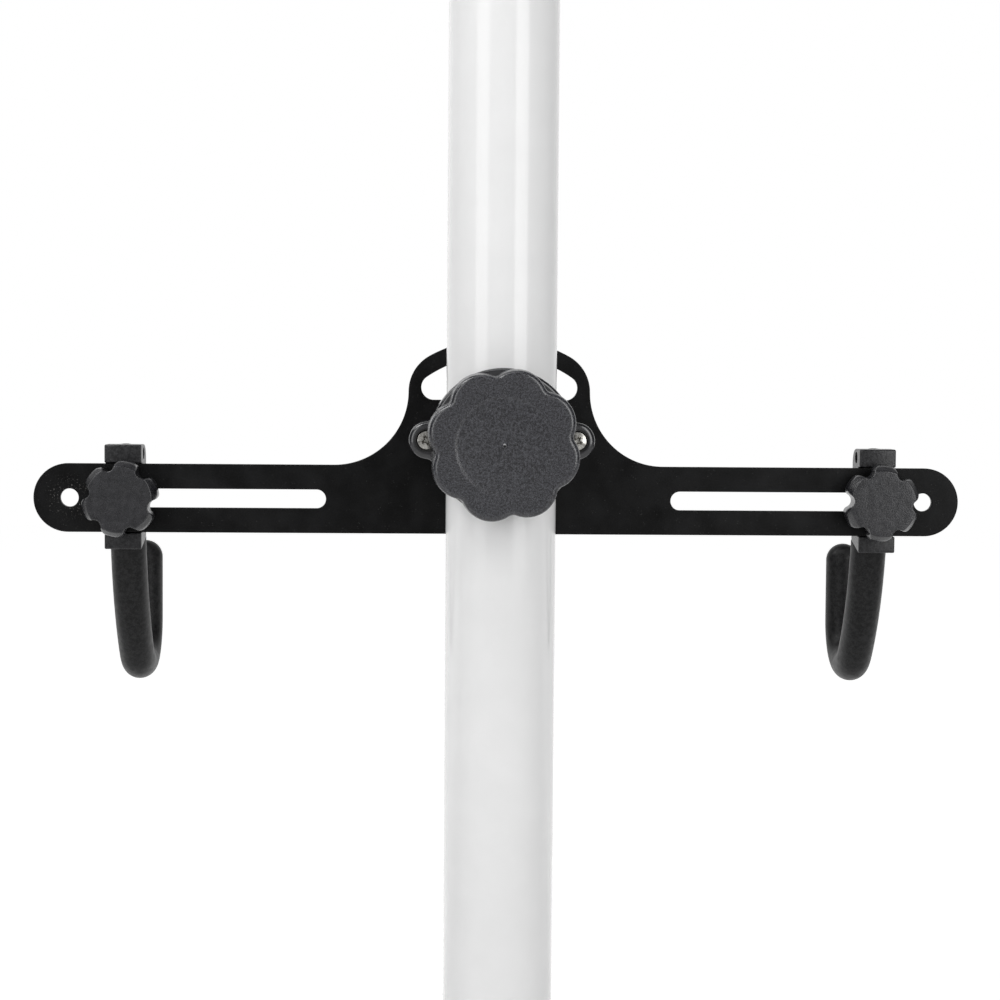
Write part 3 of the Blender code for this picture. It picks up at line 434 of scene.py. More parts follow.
def hook_line(start, short=0.0):
    """Centre line of a hook below its cross pin: y, z and the angle from straight down.

    It runs straight out of the carrier, sweeps away from the plate on a wide arc, bends
    up on a tight one and ends upright.
    """
    straight, sweep, bend, tip = HOOK_POINTS
    pin = np.array([PLATE_FRONT - LIP_PROUD + PIN_SETBACK, ARM_Z + PIN_HEIGHT])
    down = np.array([sin(ROD_LEAN), -cos(ROD_LEAN)])
    reach = np.linspace(start, carrier_exit() + HOOK_STRAIGHT, straight)
    lines = [np.column_stack([pin + reach[:, None] * down, np.full(straight, ROD_LEAN)])]
    for radius, turn, count in (
            (HOOK_SWEEP_RADIUS, HOOK_SWEEP, sweep),
            (HOOK_BEND_RADIUS, pi - ROD_LEAN - HOOK_SWEEP, bend)):
        y, z, heading = lines[-1][-1]
        angle = heading + turn * np.linspace(0.0, 1.0, count + 1)[1:]
        away = y + radius * (cos(heading) - np.cos(angle))
        height = z + radius * (sin(heading) - np.sin(angle))
        lines.append(np.column_stack([away, height, angle]))
    y, z, heading = lines[-1][-1]
    rise = np.linspace(0.0, HOOK_TIP_LENGTH - short, tip + 1)[1:]
    lines.append(np.column_stack([np.full(tip, y), z + rise, np.full(tip, heading)]))
    return np.concatenate(lines)


def carrier_exit():
    """Distance from the cross pin down to the carrier's foot, which is square to the rod."""
    return (PIN_HEIGHT + CARRIER_FOOT) * cos(ROD_LEAN) - PIN_SETBACK * sin(ROD_LEAN)


def tube(line, radius, x, sides=56):
    """Rings round a centre line in the plane of a given x, each square to the line's heading."""
    y, z, heading = line.T
    angle = once_round(sides)
    radius = np.broadcast_to(radius, y.shape)[:, None]
    out = radius * np.sin(angle)
    across = x + radius * np.cos(angle)
    return ordered(across, y[:, None] + out * np.cos(heading)[:, None],
                   z[:, None] + out * np.sin(heading)[:, None], "XYZ")


# Making and hanging pieces
def placed(name, data):
    """A new object in the scene."""
    shown = bpy.data.objects.new(name, data)
    bpy.context.scene.collection.objects.link(shown)
    return shown


def made(name, data, surface, body, replaced=(), sharp=None):
    """Put a mesh in the scene as a finished piece that rides on a body.

    sharp is the angle in degrees past which an edge is shaded as a corner.
    """
    data.materials.clear()
    data.materials.append(surface)
    data.shade_smooth()
    if sharp:
        data.set_sharp_from_angle(angle=radians(sharp))
    shown = placed(name, data)
    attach(shown, body)
    if replaced:
        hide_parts(*replaced)


def carved(name, base, joins=(), cuts=()):
    """Join solids to a solid, cut others out of it, merge doubles, and return the mesh that is left.

    Every solid that goes in has to be closed.
    """
    block = placed(name, base)
    tools = []
    for operation, solids in (("UNION", joins), ("DIFFERENCE", cuts)):
        for solid in solids:
            tools.append(placed("tool", solid))
            step = block.modifiers.new(operation, "BOOLEAN")
            step.operation = operation
            step.solver = "MANIFOLD"
            step.object = tools[-1]
    state = bpy.context.evaluated_depsgraph_get()
    state.update()
    result = bpy.data.meshes.new_from_object(block.evaluated_get(state), depsgraph=state)
    result.name = name
    shape = bmesh.new()
    shape.from_mesh(result)
    bmesh.ops.remove_doubles(shape, verts=shape.verts, dist=MERGE)
    shape.to_mesh(result)
    shape.free()
    for used in (block, *tools):
        bpy.data.objects.remove(used)
    return result


def rod_shape(name, radius, near, far, centre, axis, sides=96):
    """A plain closed cylinder for joining or cutting."""
    profile = [(0.0, near), (radius, near), (radius, far), (0.0, far)]
    return closed_mesh(name, [turned(profile, centre, axis, sides)])


def block_shape(name, low, high):
    """A plain closed box for joining or cutting: two square rings, each drawn to its middle."""
    low, high = np.asarray(low), np.asarray(high)
    square = np.array([(0, 0), (1, 0), (1, 1), (0, 1)], float)
    rings = [np.column_stack([0.5 + share * (square - 0.5), np.full(4, level)])
             for share, level in ((0, 0.0), (1, 0.0), (1, 1.0), (0, 1.0))]
    return closed_mesh(name, [low + np.stack(rings) * (high - low)])


# Finishes
def linked(tree, kind, inputs=None, **options):
    """Add a shader node, set its options, and give its sockets values or other sockets."""
    made_node = tree.nodes.new("ShaderNode" + kind)
    for option, value in options.items():
        setattr(made_node, option, value)
    for socket, value in (inputs or {}).items():
        if isinstance(value, bpy.types.NodeSocket):
            tree.links.new(value, made_node.inputs[socket])
        else:
            made_node.inputs[socket].default_value = value
    return made_node


def speckle(tree, place, scale, detail=2.0, rough=0.5):
    """A grey noise of a given scale per metre."""
    inputs = {"Vector": place, "Scale": scale, "Detail": detail, "Roughness": rough}
    return linked(tree, "TexNoise", inputs).outputs["Fac"]


def spread(tree, value, low, high, to_low=0.0, to_high=1.0):
    """Stretch a value from one range to another, held at both ends."""
    inputs = {"Value": value, "From Min": low, "From Max": high, "To Min": to_low, "To Max": to_high}
    return linked(tree, "MapRange", inputs).outputs["Result"]


def blended(tree, share, first, second):
    """Mix two colours, each a value or a socket."""
    colours = [(*value, 1.0) if isinstance(value, tuple) else value for value in (first, second)]
    return linked(tree, "Mix", {0: share, 6: colours[0], 7: colours[1]}, data_type="RGBA").outputs[2]


def combined(tree, first, second, operation="MULTIPLY"):
    """One number from two, by default their product."""
    return linked(tree, "Math", {0: first, 1: second}, operation=operation).outputs[0]


def measured(tree, operation, *vectors):
    """One number from one or two vectors, such as a length or a distance."""
    inputs = dict(enumerate(vectors))
    return linked(tree, "VectorMath", inputs, operation=operation).outputs["Value"]


def new_material(name):
    """A material with nodes, its tree and its shader."""
    material = bpy.data.materials.new(name)
    material.use_nodes = True
    return material, material.node_tree, material.node_tree.nodes["Principled BSDF"]


def finish(name, dark, light, mottle, roughness, grain, metallic=0.0, specular=0.5, crisp=0.20,
           flecks=None, scuffs_and_highlights=()):
    """A procedural surface: colour mottle, uneven gloss, grain in relief, and stray flecks.

    mottle lists the noise scales per metre that vary the colour, and crisp is the half
    range of noise over which it changes. roughness is its low and high value. grain
    lists pairs of noise scale and height in metres. flecks is a scale per metre, a size
    and a colour. The last argument lists spots laid over the colour, both rubbed places
    and painted highlights: centre, radius, colour, and the noise above which it shows,
    so that a high one leaves only specks of it.
    """
    material, tree, shader = new_material(name)
    place = linked(tree, "TexCoord").outputs["Object"]
    tone = speckle(tree, place, mottle[0])
    for scale in mottle[1:]:
        tone = combined(tree, tone, speckle(tree, place, scale), "ADD")
    tone = spread(tree, tone, (0.5 - crisp) * len(mottle), (0.5 + crisp) * len(mottle))
    colour = blended(tree, tone, dark, light)
    gloss = speckle(tree, place, mottle[0] * GLOSS_PATCH, 3.0)
    gloss = spread(tree, gloss, *GLOSS_NOISE, *roughness)
    height = None
    for scale, lift in grain:
        layer = combined(tree, speckle(tree, place, scale, 1.0), lift)
        height = layer if height is None else combined(tree, height, layer, "ADD")
    if flecks:
        scale, size, fleck_colour = flecks
        cells = linked(tree, "TexVoronoi", {"Vector": place, "Scale": scale})
        near = spread(tree, cells.outputs["Distance"], size, size * FLECK_FADE, 1.0, 0.0)
        picked = spread(tree, speckle(tree, place, scale * FLECK_PATCH, 0.0), *FLECK_NOISE)
        colour = blended(tree, combined(tree, near, picked), colour, fleck_colour)
    # Spots laid over the colour: rubbed places, and painted highlights where a lamp would shine
    for centre, radius, mark_colour, above in scuffs_and_highlights:
        moved = measured(tree, "DISTANCE", place, centre)
        inner, outer = MARK_FADE
        halo = spread(tree, moved, radius * inner, radius * outer, 1.0, 0.0)
        ragged = spread(tree, speckle(tree, place, MARK_SPECKS, 4.0, 0.7), above, above + MARK_NOISE)
        colour = blended(tree, combined(tree, halo, ragged), colour, mark_colour)
    relief = linked(tree, "Bump", {"Height": height, "Strength": 1.0, "Distance": 1.0})
    tree.links.new(colour, shader.inputs["Base Color"])
    tree.links.new(gloss, shader.inputs["Roughness"])
    tree.links.new(relief.outputs["Normal"], shader.inputs["Normal"])
    shader.inputs["Metallic"].default_value = metallic
    shader.inputs["Specular IOR Level"].default_value = specular
    return material


LEFT_HOLE = (-(ARM_X - END_HOLE_INSET), PLATE_FRONT, ARM_Z)
# Centre of a highlight painted on the nub's raised ring, at its upper crest, where a lamp above would shine
NUB_PAINTED_HIGHLIGHT = (0.0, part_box("clamp_knob")[0][1] - 0.0004, KNOB_Z + 0.0007)
WHITE_COAT = finish(
    "white_powder_coat", (0.80, 0.80, 0.80), (0.84, 0.84, 0.84), (9.0, 60.0), (0.11, 0.15),
    ((900.0, 0.000003), (2600.0, 0.0000012)))
BLACK_COAT = finish(
    "black_powder_coat", (0.0004, 0.0004, 0.0005), (0.0075, 0.0076, 0.0080), (90.0, 1800.0), (0.32, 0.48),
    ((2200.0, 0.00003), (500.0, 0.00003)), specular=0.16, crisp=0.12,
    flecks=(850.0, 0.13, (0.035, 0.035, 0.035)), scuffs_and_highlights=((LEFT_HOLE, 0.0065, (0.30, 0.29, 0.28), 0.60),))
GREY_PLASTIC = finish(
    "grained_dark_plastic", (0.001, 0.001, 0.003), (0.052, 0.053, 0.061), (3000.0, 1300.0), (0.20, 0.30),
    ((1500.0, 0.00005), (3000.0, 0.00002)), specular=0.85, crisp=0.08,
    # the spot at the nub is a painted highlight, light grey on the dark plastic
    scuffs_and_highlights=((NUB_PAINTED_HIGHLIGHT, 0.0004, (0.30, 0.30, 0.31), 0.0),))
COLLAR_PLASTIC = finish(
    "moulded_dark_plastic", (0.004, 0.004, 0.006), (0.016, 0.016, 0.020), (1800.0, 300.0), (0.16, 0.25),
    ((1500.0, 0.000014), (3000.0, 0.000008)), specular=1.0, crisp=0.12)
SMALL_PLASTIC = finish(
    "smooth_dark_plastic", (0.004, 0.004, 0.006), (0.023, 0.023, 0.026), (1800.0, 300.0), (0.22, 0.32),
    ((1500.0, 0.00005), (300.0, 0.00006)), specular=0.7, crisp=0.10)
CAST_GREY = finish(
    "coated_casting", (0.001, 0.001, 0.002), (0.022, 0.022, 0.024), (1500.0, 600.0), (0.26, 0.40),
    ((1100.0, 0.000070), (2800.0, 0.00003)), specular=0.5, crisp=0.09)
SOFT_COAT = finish(
    "soft_coat", (0.0022, 0.0022, 0.0026), (0.0150, 0.0150, 0.0156), (500.0, 1600.0), (0.38, 0.50),
    ((2000.0, 0.000035), (400.0, 0.000040)), specular=0.25, crisp=0.09)
ZINC = finish(
    "zinc_plated_steel", (0.28, 0.27, 0.25), (0.62, 0.61, 0.58), (1200.0, 2600.0), (0.15, 0.27),
    ((1800.0, 0.000012),), metallic=1.0, crisp=0.12)
BLACK_STEEL = finish(
    "black_steel", (0.030, 0.030, 0.031), (0.060, 0.059, 0.057), (800.0,), (0.35, 0.50),
    ((2500.0, 0.000010),), metallic=0.8)
NYLON = finish(
    "natural_liner_plastic", (0.56, 0.56, 0.52), (0.66, 0.66, 0.62), (300.0,), (0.40, 0.50),
    ((1800.0, 0.000010),))
BRASS = finish(
    "brass", (0.62, 0.44, 0.20), (0.76, 0.58, 0.30), (600.0,), (0.25, 0.40),
    ((2600.0, 0.000008),), metallic=1.0)


# Pole
def dress_pole():
    """Tube with a socket below and a swaged spigot on top, turned round the pole's axis."""
    socket = POLE_RADIUS - POLE_WALL
    spigot = socket - GAP
    corners = [
        (socket, 0.0), (POLE_RADIUS, 0.0), (POLE_RADIUS, POLE_BODY - SWAGE), (spigot, POLE_BODY),
        (spigot, POLE_TOP), (spigot - POLE_WALL, POLE_TOP), (spigot - POLE_WALL, POLE_BODY),
        (socket, POLE_BODY - SWAGE)]
    rounds = (0.0004, 0.0004, 0.003, 0.001, 0.0007, 0.0004, 0.001, 0.003)
    profile = looped(followed(rounded(corners, rounds), step=radians(15.0)))
    data = closed_mesh("pole", [turned(profile, (0.0, 0.0, 0.0), UPWARD, 224)])
    made("pole", data, WHITE_COAT, "pole", ["pole_tube"], sharp=50.0)


# Arm plate
def plate_loops():
    """Outline, window, slots and holes of the arm plate, as chains of arcs."""
    end = ARM_X - ARM_HALF
    crown_z = plate_high[2] - CROWN_RADIUS
    shoulder_x = HUMP_HALF - SHOULDER_RADIUS
    shoulder_z = crown_z + sqrt((CROWN_RADIUS - SHOULDER_RADIUS) ** 2 - shoulder_x ** 2)
    flare = shoulder_z - ARM_Z - ARM_HALF
    flare_x = HUMP_HALF + flare
    lean = atan2(shoulder_z - crown_z, shoulder_x)
    quarter_turn = pi / 2
    outline = [
        (end, ARM_Z, ARM_HALF, -quarter_turn, pi),
        (flare_x, shoulder_z, flare, -quarter_turn, -quarter_turn),
        (shoulder_x, shoulder_z, SHOULDER_RADIUS, 0.0, lean),
        (0.0, crown_z, CROWN_RADIUS, lean, pi - 2 * lean),
        (-shoulder_x, shoulder_z, SHOULDER_RADIUS, pi - lean, lean),
        (-flare_x, shoulder_z, flare, 0.0, -quarter_turn),
        (-end, ARM_Z, ARM_HALF, quarter_turn, pi)]
    inner_crown = CROWN_RADIUS - WINDOW_BAND
    corner_z = ARM_Z + WINDOW_SILL + WINDOW_END_RADIUS
    corner_x = sqrt((inner_crown - WINDOW_END_RADIUS) ** 2 - (corner_z - crown_z) ** 2)
    rise = atan2(corner_z - crown_z, corner_x)
    window = [
        (0.0, crown_z, inner_crown, pi - rise, 2 * rise - pi),
        (corner_x, corner_z, WINDOW_END_RADIUS, rise, -rise - quarter_turn),
        (-corner_x, corner_z, WINDOW_END_RADIUS, -quarter_turn, -rise - quarter_turn)]
    loops = [outline, window]
    near = SLOT_INNER_END + SLOT_RADIUS
    far = ARM_X - SLOT_END_INSET - SLOT_RADIUS
    for side in (-1, 1):
        inner, outer = sorted((side * near, side * far))
        loops.append([
            (outer, ARM_Z, SLOT_RADIUS, quarter_turn, -pi),
            (inner, ARM_Z, SLOT_RADIUS, -quarter_turn, -pi)])
        loops.append(circle(side * (ARM_X - END_HOLE_INSET), ARM_Z, END_HOLE_RADIUS))
        loops.append(circle(side * SCREW_X, CLAMP_Z, SCREW_HOLE))
    return loops


def dress_plate():
    """Flat plate: its outline and holes drawn through its thickness, with every edge broken."""
    data = slab("arm", plate_loops(), PLATE_FRONT, PLATE_BACK, PLATE_EDGE)
    made("arm", data, BLACK_COAT, "cradle", ["arm_plate"])


# Collar
def ear_outline(side):
    """One ear from the front: a round end, and a hollow fillet above and below into the housing.

    Each fillet's centre is one fillet radius off the ear's round and off a circle just
    inside the housing's wall. The ear's root ends in two small rounds inside the housing.
    The other ear is the same outline turned half round.
    """
    wall = HOUSING_RADIUS - EAR_SINK
    to_ear = EAR_RADIUS + EAR_FILLET
    to_housing = wall + EAR_FILLET
    x = (to_housing ** 2 - to_ear ** 2 + EAR_X ** 2) / (2 * EAR_X)
    z = sqrt(to_housing ** 2 - x ** 2)
    round_end = atan2(z, x - EAR_X)
    lean = atan2(z, x)
    root_x = (wall - EAR_ROOT) * cos(lean)
    root_z = (wall - EAR_ROOT) * sin(lean)
    corner = pi / 2 - lean
    arcs = [
        (EAR_X, 0.0, EAR_RADIUS, -round_end, 2 * round_end),
        (x, z, EAR_FILLET, round_end - pi, lean - round_end),
        (root_x, root_z, EAR_ROOT_ROUND, lean + pi / 2, corner),
        (root_x, -root_z, EAR_ROOT_ROUND, pi, corner),
        (x, -z, EAR_FILLET, pi - lean, lean - round_end)]
    half_turn = 0.0 if side > 0 else pi
    return [(side * px, CLAMP_Z + side * pz, radius, start + half_turn, sweep)
            for px, pz, radius, start, sweep in arcs]


def pole_cuts():
    """Two upright cylinders: the bore of the lips, and the wider groove between them for the liner."""
    return [rod_shape("pole_bore", LIP_RADIUS, -0.05, 0.05, CLAMP_MIDDLE, UPWARD, 160),
            rod_shape("groove", GROOVE_RADIUS, -GROOVE_HALF, GROOVE_HALF, CLAMP_MIDDLE, UPWARD, 160)]


def dress_collar():
    """Moulded housing with its two ears, cut for the pole, liner, saddle, pad and screws.

    The housing is a profile turned round a line from front to back. It and the ears run
    on past the back, which is cut flat, and each cutter reaches past the face it opens.
    """
    stud = (0.0, 0.0, KNOB_Z)
    corners = [(0.0, HOUSING_FRONT), (HOUSING_RADIUS, HOUSING_FRONT),
               (HOUSING_RADIUS, COLLAR_BACK), (0.0, COLLAR_BACK)]
    wall = softened(corners, (HOUSING_EDGE, BROKEN_EDGE), step=radians(11.0))
    wall[-2:, 1] += 0.002
    housing = closed_mesh("housing", [turned(wall, CLAMP_MIDDLE, ALONG, 192)])
    neck = rod_shape("neck", NECK_RADIUS, NECK_FRONT, HOUSING_FRONT + RUN_ON, stud, ALONG)
    sink_front = HOUSING_FRONT - 0.01
    ears, bores = [], []
    for side in (-1, 1):
        ears.append(slab("ear", [ear_outline(side)], EAR_FRONT, COLLAR_BACK + RUN_ON, EAR_EDGE))
        screw = (side * SCREW_X, 0.0, CLAMP_Z)
        bores.append(rod_shape("sink", COUNTERBORE, sink_front, COUNTERBORE_FLOOR, screw, ALONG, 64))
        bores.append(rod_shape("bore", SCREW_HOLE, COUNTERBORE_FLOOR - 0.001, 0.04, screw, ALONG, 48))
    pole_bore, groove = pole_cuts()
    cuts = [
        pole_bore,
        block_shape("back", (-0.05, COLLAR_BACK, CLAMP_Z - 0.06), (0.05, 0.05, CLAMP_Z + 0.06)),
        block_shape("bay", (-BAY_HALF, 0.0, CLAMP_Z - 0.05), (BAY_HALF, 0.04, CLAMP_Z + 0.05)),
        groove,
        rod_shape("pad_pocket", PAD_POCKET_RADIUS, PAD_POCKET_END, -0.010, stud, ALONG, 64),
        rod_shape("insert_seat", INSERT_BORE, NECK_FRONT - 0.01, PAD_POCKET_END + 0.001, stud, ALONG, 64),
        *bores]
    data = carved("collar", housing, [neck, *ears], cuts)
    made("collar", data, COLLAR_PLASTIC, "cradle", ["clamp_body"], sharp=30.0)


def dress_saddle():
    """Block behind the pole: its front is hollowed to the pole and grooved for the liner."""
    half = GROOVE_RADIUS
    corners = [(-half, SADDLE_FRONT), (half, SADDLE_FRONT), (half, COLLAR_BACK), (-half, COLLAR_BACK)]
    outline = rounded(corners, 0.0006)
    solid = slab("saddle", [outline], CLAMP_Z - SADDLE_HALF, CLAMP_Z + SADDLE_HALF, 0.0005, "XYZ")
    data = carved("saddle", solid, cuts=pole_cuts())
    made("saddle", data, COLLAR_PLASTIC, "cradle", ["clamp_saddle"], sharp=30.0)


# Knobs
def dress_big_knob():
    """Hollow lobed knob: dished face, rounded rim, thin skirt, and a hub round the stud's head.

    The profile runs from the middle of the face over the rim, down the skirt, and back
    inside to the hub and the stud.
    """
    front, back = (corner[1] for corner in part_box("clamp_knob"))
    stud_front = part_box("clamp_stud")[0][1]
    ceiling = front + KNOB_FACE_WALL
    head_back = stud_front + STUD_HEAD
    hub_back = head_back + KNOB_HUB_RISE
    inside = KNOB_WALL + KNOB_TAPER
    profile = [(0, radius, front + depth) for radius, depth in KNOB_NUB]
    profile += [(0, KNOB_DISH + out, front + depth) for out, depth in KNOB_RING]
    profile += [(1, KNOB_TAPER + KNOB_EDGE * 1.1, front)]
    profile += [(1, KNOB_TAPER + inset, front + depth) for inset, depth in quarter(KNOB_EDGE, 8)]
    profile += [(1, KNOB_TAPER * 0.5, (front + KNOB_EDGE + back) / 2), (1, 0.0, back - KNOB_SOFT)]
    profile += [(1, inset, back - depth) for inset, depth in quarter(KNOB_SOFT)[::-1]]
    profile += [
        (1, KNOB_WALL - 0.0005, back), (1, KNOB_WALL, back - 0.0005), (1, inside, ceiling + 0.001),
        (1, inside + 0.001, ceiling), (0, KNOB_HUB + KNOB_SOFT, ceiling), (0, KNOB_HUB, ceiling + KNOB_SOFT),
        (0, KNOB_HUB, hub_back - BROKEN_EDGE), (0, KNOB_HUB - BROKEN_EDGE, hub_back),
        (0, KNOB_HUB_BORE, hub_back), (0, KNOB_HUB_BORE, head_back + GAP),
        (0, STUD_HEAD_ROOM, head_back + GAP), (0, STUD_HEAD_ROOM, stud_front - GAP),
        (0, 0.0, stud_front - GAP)]
    outline = (KNOB_LOBES, KNOB_TIP, KNOB_LOBE, KNOB_NOTCH)
    rings = knob_rings(profile, outline, KNOB_TURN, (0.0, KNOB_Z), 512)
    data = closed_mesh("big_knob", [rings])
    made("big_knob", data, GREY_PLASTIC, "big_knob", ["clamp_knob"], sharp=40.0)


def scallops():
    """Outline of a notched disc as arcs: a crest between two rounded corners, then a hollow notch.

    A notch touches the corners beside it, and the law of cosines gives where they stand.
    """
    half = pi / SMALL_LOBES
    offset = SMALL_TIP - SMALL_CORNER
    hollow = SMALL_WAIST + SMALL_NOTCH
    share = (offset ** 2 + hollow ** 2 - (SMALL_CORNER + SMALL_NOTCH) ** 2) / (2 * offset * hollow)
    flank = half - acos(share)
    rise = hollow * sin(half) - offset * sin(flank)
    run = hollow * cos(half) - offset * cos(flank)
    swing = atan2(rise, run)
    arcs = []
    for turn in 2 * half * np.arange(SMALL_LOBES):
        before, after, valley = turn - flank, turn + flank, turn + half
        arcs += [
            (offset * cos(before), offset * sin(before), SMALL_CORNER, turn - swing, swing - flank),
            (0.0, 0.0, SMALL_TIP, before, 2 * flank),
            (offset * cos(after), offset * sin(after), SMALL_CORNER, after, swing - flank),
            (hollow * cos(valley), hollow * sin(valley), SMALL_NOTCH,
             turn + swing + pi, 2 * (half - swing))]
    return arcs


def softer(first, second, round_off):
    """The smaller of two distances, with the corner between them rounded off."""
    near = np.maximum(round_off - np.abs(first - second), 0.0) / round_off
    return np.minimum(first, second) - near ** 2 * round_off / 4


def dress_small_knob(side):
    """Notched disc with a sloped rim and a round hub towards its washer.

    Each ring follows the notched outline, drawn in by an inset at the front and back
    edges, and no point goes further out than that ring's limit, which is a cone at
    the sloped rim and a circle at the hub.
    """
    front, hub_back = (corner[1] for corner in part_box(f"hook_knob_{side}"))
    body_back = hub_back - SMALL_HUB_RISE
    head_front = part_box(f"hook_stud_{side}")[0][1]
    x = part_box(f"hook_washer_{side}")[0][0] + SMALL_HUB
    beyond = 0.0012
    free = SMALL_TIP + beyond
    slope = SMALL_RIM / (SMALL_TIP - SMALL_FACE)
    corners = [(SMALL_FACE - 0.003, front), (SMALL_FACE, front), (free, front + SMALL_RIM + beyond * slope)]
    cone = softened(corners, SMALL_ROUND, radians(10.0))
    flat = FLAT_BAND * SMALL_NOTCH_EDGE
    rows = [(flat, 0.0, front), (flat, 0.006, front)]
    for limit, depth in cone:
        near = max(SMALL_NOTCH_EDGE - (depth - front), 0.0)
        inset = SMALL_NOTCH_EDGE - sqrt(SMALL_NOTCH_EDGE ** 2 - near ** 2)
        rows.append((flat if depth == front else inset, limit, depth))
    rows[-1:-1] = [(0.0, limit, depth) for limit, depth in
                   cone[-2] + (cone[-1] - cone[-2]) * np.linspace(0.1, 0.9, 9)[:, None]]
    rows.append((0.0, free, body_back - SMALL_EDGE))
    rows += [(inset, free, body_back - depth) for inset, depth in quarter(SMALL_EDGE, 5)[::-1]]
    rows += [
        (FLAT_BAND * SMALL_EDGE, free, body_back), (0.0, SMALL_HUB, body_back),
        (0.0, SMALL_HUB, hub_back - BROKEN_EDGE), (0.0, SMALL_HUB - BROKEN_EDGE, hub_back),
        (0.0, SMALL_HEAD_ROOM, hub_back), (0.0, SMALL_HEAD_ROOM, head_front - GAP),
        (0.0, 0.0, head_front - GAP)]
    rings = []
    for inset, limit, depth in rows:
        across, up = followed(scallops(), inset).T
        angle = np.arctan2(up, across) + SMALL_TURNS[side]
        reach = np.maximum(softer(np.hypot(across, up), limit, SMALL_ROUND), 0.0)
        rings.append(facing(x, ARM_Z, reach, angle, depth))
    name = f"small_knob_{side}"
    made(name, closed_mesh(name, [np.stack(rings)]), SMALL_PLASTIC, name,
         [f"hook_knob_{side}"], sharp=40.0)


# Hooks
def dress_carrier(side, x):
    """Casting that embraces the plate: two lips, a rounded back, and a leaning boss for the rod.

    The block is its side view drawn through its width, and the boss a profile turned
    round the rod's line and trimmed behind the plate.
    """
    front = PLATE_FRONT - LIP_PROUD
    inner = PLATE_BACK + GAP
    back = front + CARRIER_DEPTH
    slot_half = ARM_HALF + GAP
    foot_back = -CARRIER_FOOT + CARRIER_DEPTH * tan(ROD_LEAN)
    corners = np.array([
        (front, -CARRIER_FOOT), (back, foot_back), (back, CARRIER_TOP), (front, CARRIER_TOP),
        (front, slot_half), (inner, slot_half), (inner, -slot_half), (front, -slot_half)]) + (0.0, ARM_Z)
    outline = rounded(corners, (0.0009, 0.0012, CARRIER_BACK_ROUND, 0.0011, 0.0006, 0.0003, 0.0003, 0.0006))
    body = slab(f"body_{side}", [outline], x - CARRIER_HALF, x + CARRIER_HALF, CARRIER_EDGE, "YZX")
    axis = np.array([0.0, -sin(ROD_LEAN), cos(ROD_LEAN)])
    centre = np.array([x, front + PIN_SETBACK, ARM_Z + PIN_HEIGHT])
    reach = carrier_exit()
    corners = [(0.0, -reach), (BOSS_RADIUS, -reach), (BOSS_RADIUS, -BOSS_SHOULDER),
               (BOSS_RADIUS - 0.003, -BOSS_TOP), (0.0, -BOSS_TOP)]
    boss_profile = softened(corners, (0.0008, 0.003, 0.001))
    boss = closed_mesh(f"boss_{side}", [turned(boss_profile, centre, axis, 72)])
    boss = carved(f"boss_{side}", boss, cuts=[
        block_shape("trim", (x - 0.02, 0.0, ARM_Z - 0.06), (x + 0.02, inner + 0.0007, ARM_Z + 0.06))])
    cuts = [
        rod_shape("rod_bore", ROD_RADIUS + GAP, -reach - 0.01, ROD_TOP, centre, axis, 48),
        block_shape("pocket", (x - NUT_POCKET, inner - 0.01, ARM_Z - NUT_POCKET),
                    (x + NUT_POCKET, inner + NUT_POCKET_DEPTH, ARM_Z + NUT_POCKET)),
        rod_shape("pin_bore", PIN_RADIUS + GAP, -0.02, 0.02, centre, ACROSS, 48)]
    for hand in (-1, 1):
        span = sorted((hand * (CARRIER_HALF - PIN_SINK - GAP), hand * 0.02))
        cuts.append(rod_shape("mouth", PIN_MOUTH, *span, centre, ACROSS, 48))
    data = carved(f"carrier_{side}", body, [boss], cuts)
    made(f"carrier_{side}", data, CAST_GREY, f"hook_{side}",
         [f"hook_carrier_{side}"], sharp=32.0)


def dress_sleeve(side, x):
    """Soft coat on the bar: a tube along the hook's line, closed by a round tip.

    Its radius starts as a quarter round, stays the same along the line, and falls as the
    cosine of an angle over the tip. The bar's bore ends short of it.
    """
    start = carrier_exit() + GAP
    line = hook_line(start)
    bore = hook_line(start, short=ROD_SHORT - GAP)
    first = np.repeat(line[:1], 5, axis=0)
    angle = np.linspace(0.0, pi / 2, 5)
    first[:, :2] += (SLEEVE_EDGE * (1 - np.cos(angle)))[:, None] * (sin(ROD_LEAN), -cos(ROD_LEAN))
    first_radius = SLEEVE_RADIUS - SLEEVE_EDGE * (1 - np.sin(angle))
    tip = np.repeat(line[-1:], 12, axis=0)
    rise = np.linspace(0.0, pi / 2, 13)[1:]
    tip[:, 1] += SLEEVE_RADIUS * np.sin(rise)
    outside = np.concatenate([first, line[1:], tip])
    wall = np.full(len(line) - 1, SLEEVE_RADIUS)
    radii = np.concatenate([first_radius, wall, SLEEVE_RADIUS * np.cos(rise)])
    rings = [tube(bore[-1:], 0.0, x), tube(bore[::-1], ROD_RADIUS + GAP, x), tube(outside, radii, x)]
    name = f"sleeve_{side}"
    data = closed_mesh(name, [np.concatenate(rings)])
    made(name, data, SOFT_COAT, f"hook_{side}", [f"hook_sleeve_{side}"], sharp=50.0)


def dress_pin(side, x):
    """Hollow spring pin: a strip rolled to a tube that doesn't quite close."""
    y = PLATE_FRONT - LIP_PROUD + PIN_SETBACK
    z = ARM_Z + PIN_HEIGHT
    sweep = 2 * pi - 2 * PIN_SLIT
    outline = [(y, z, PIN_RADIUS, PIN_SLIT, sweep), (y, z, PIN_BORE, -PIN_SLIT, -sweep)]
    half = CARRIER_HALF - PIN_SINK
    data = slab(f"pin_{side}", [outline], x - half, x + half, 0.0001, "YZX")
    made(f"pin_{side}", data, BLACK_STEEL, f"hook_{side}", [f"hook_pin_{side}"], sharp=40.0)


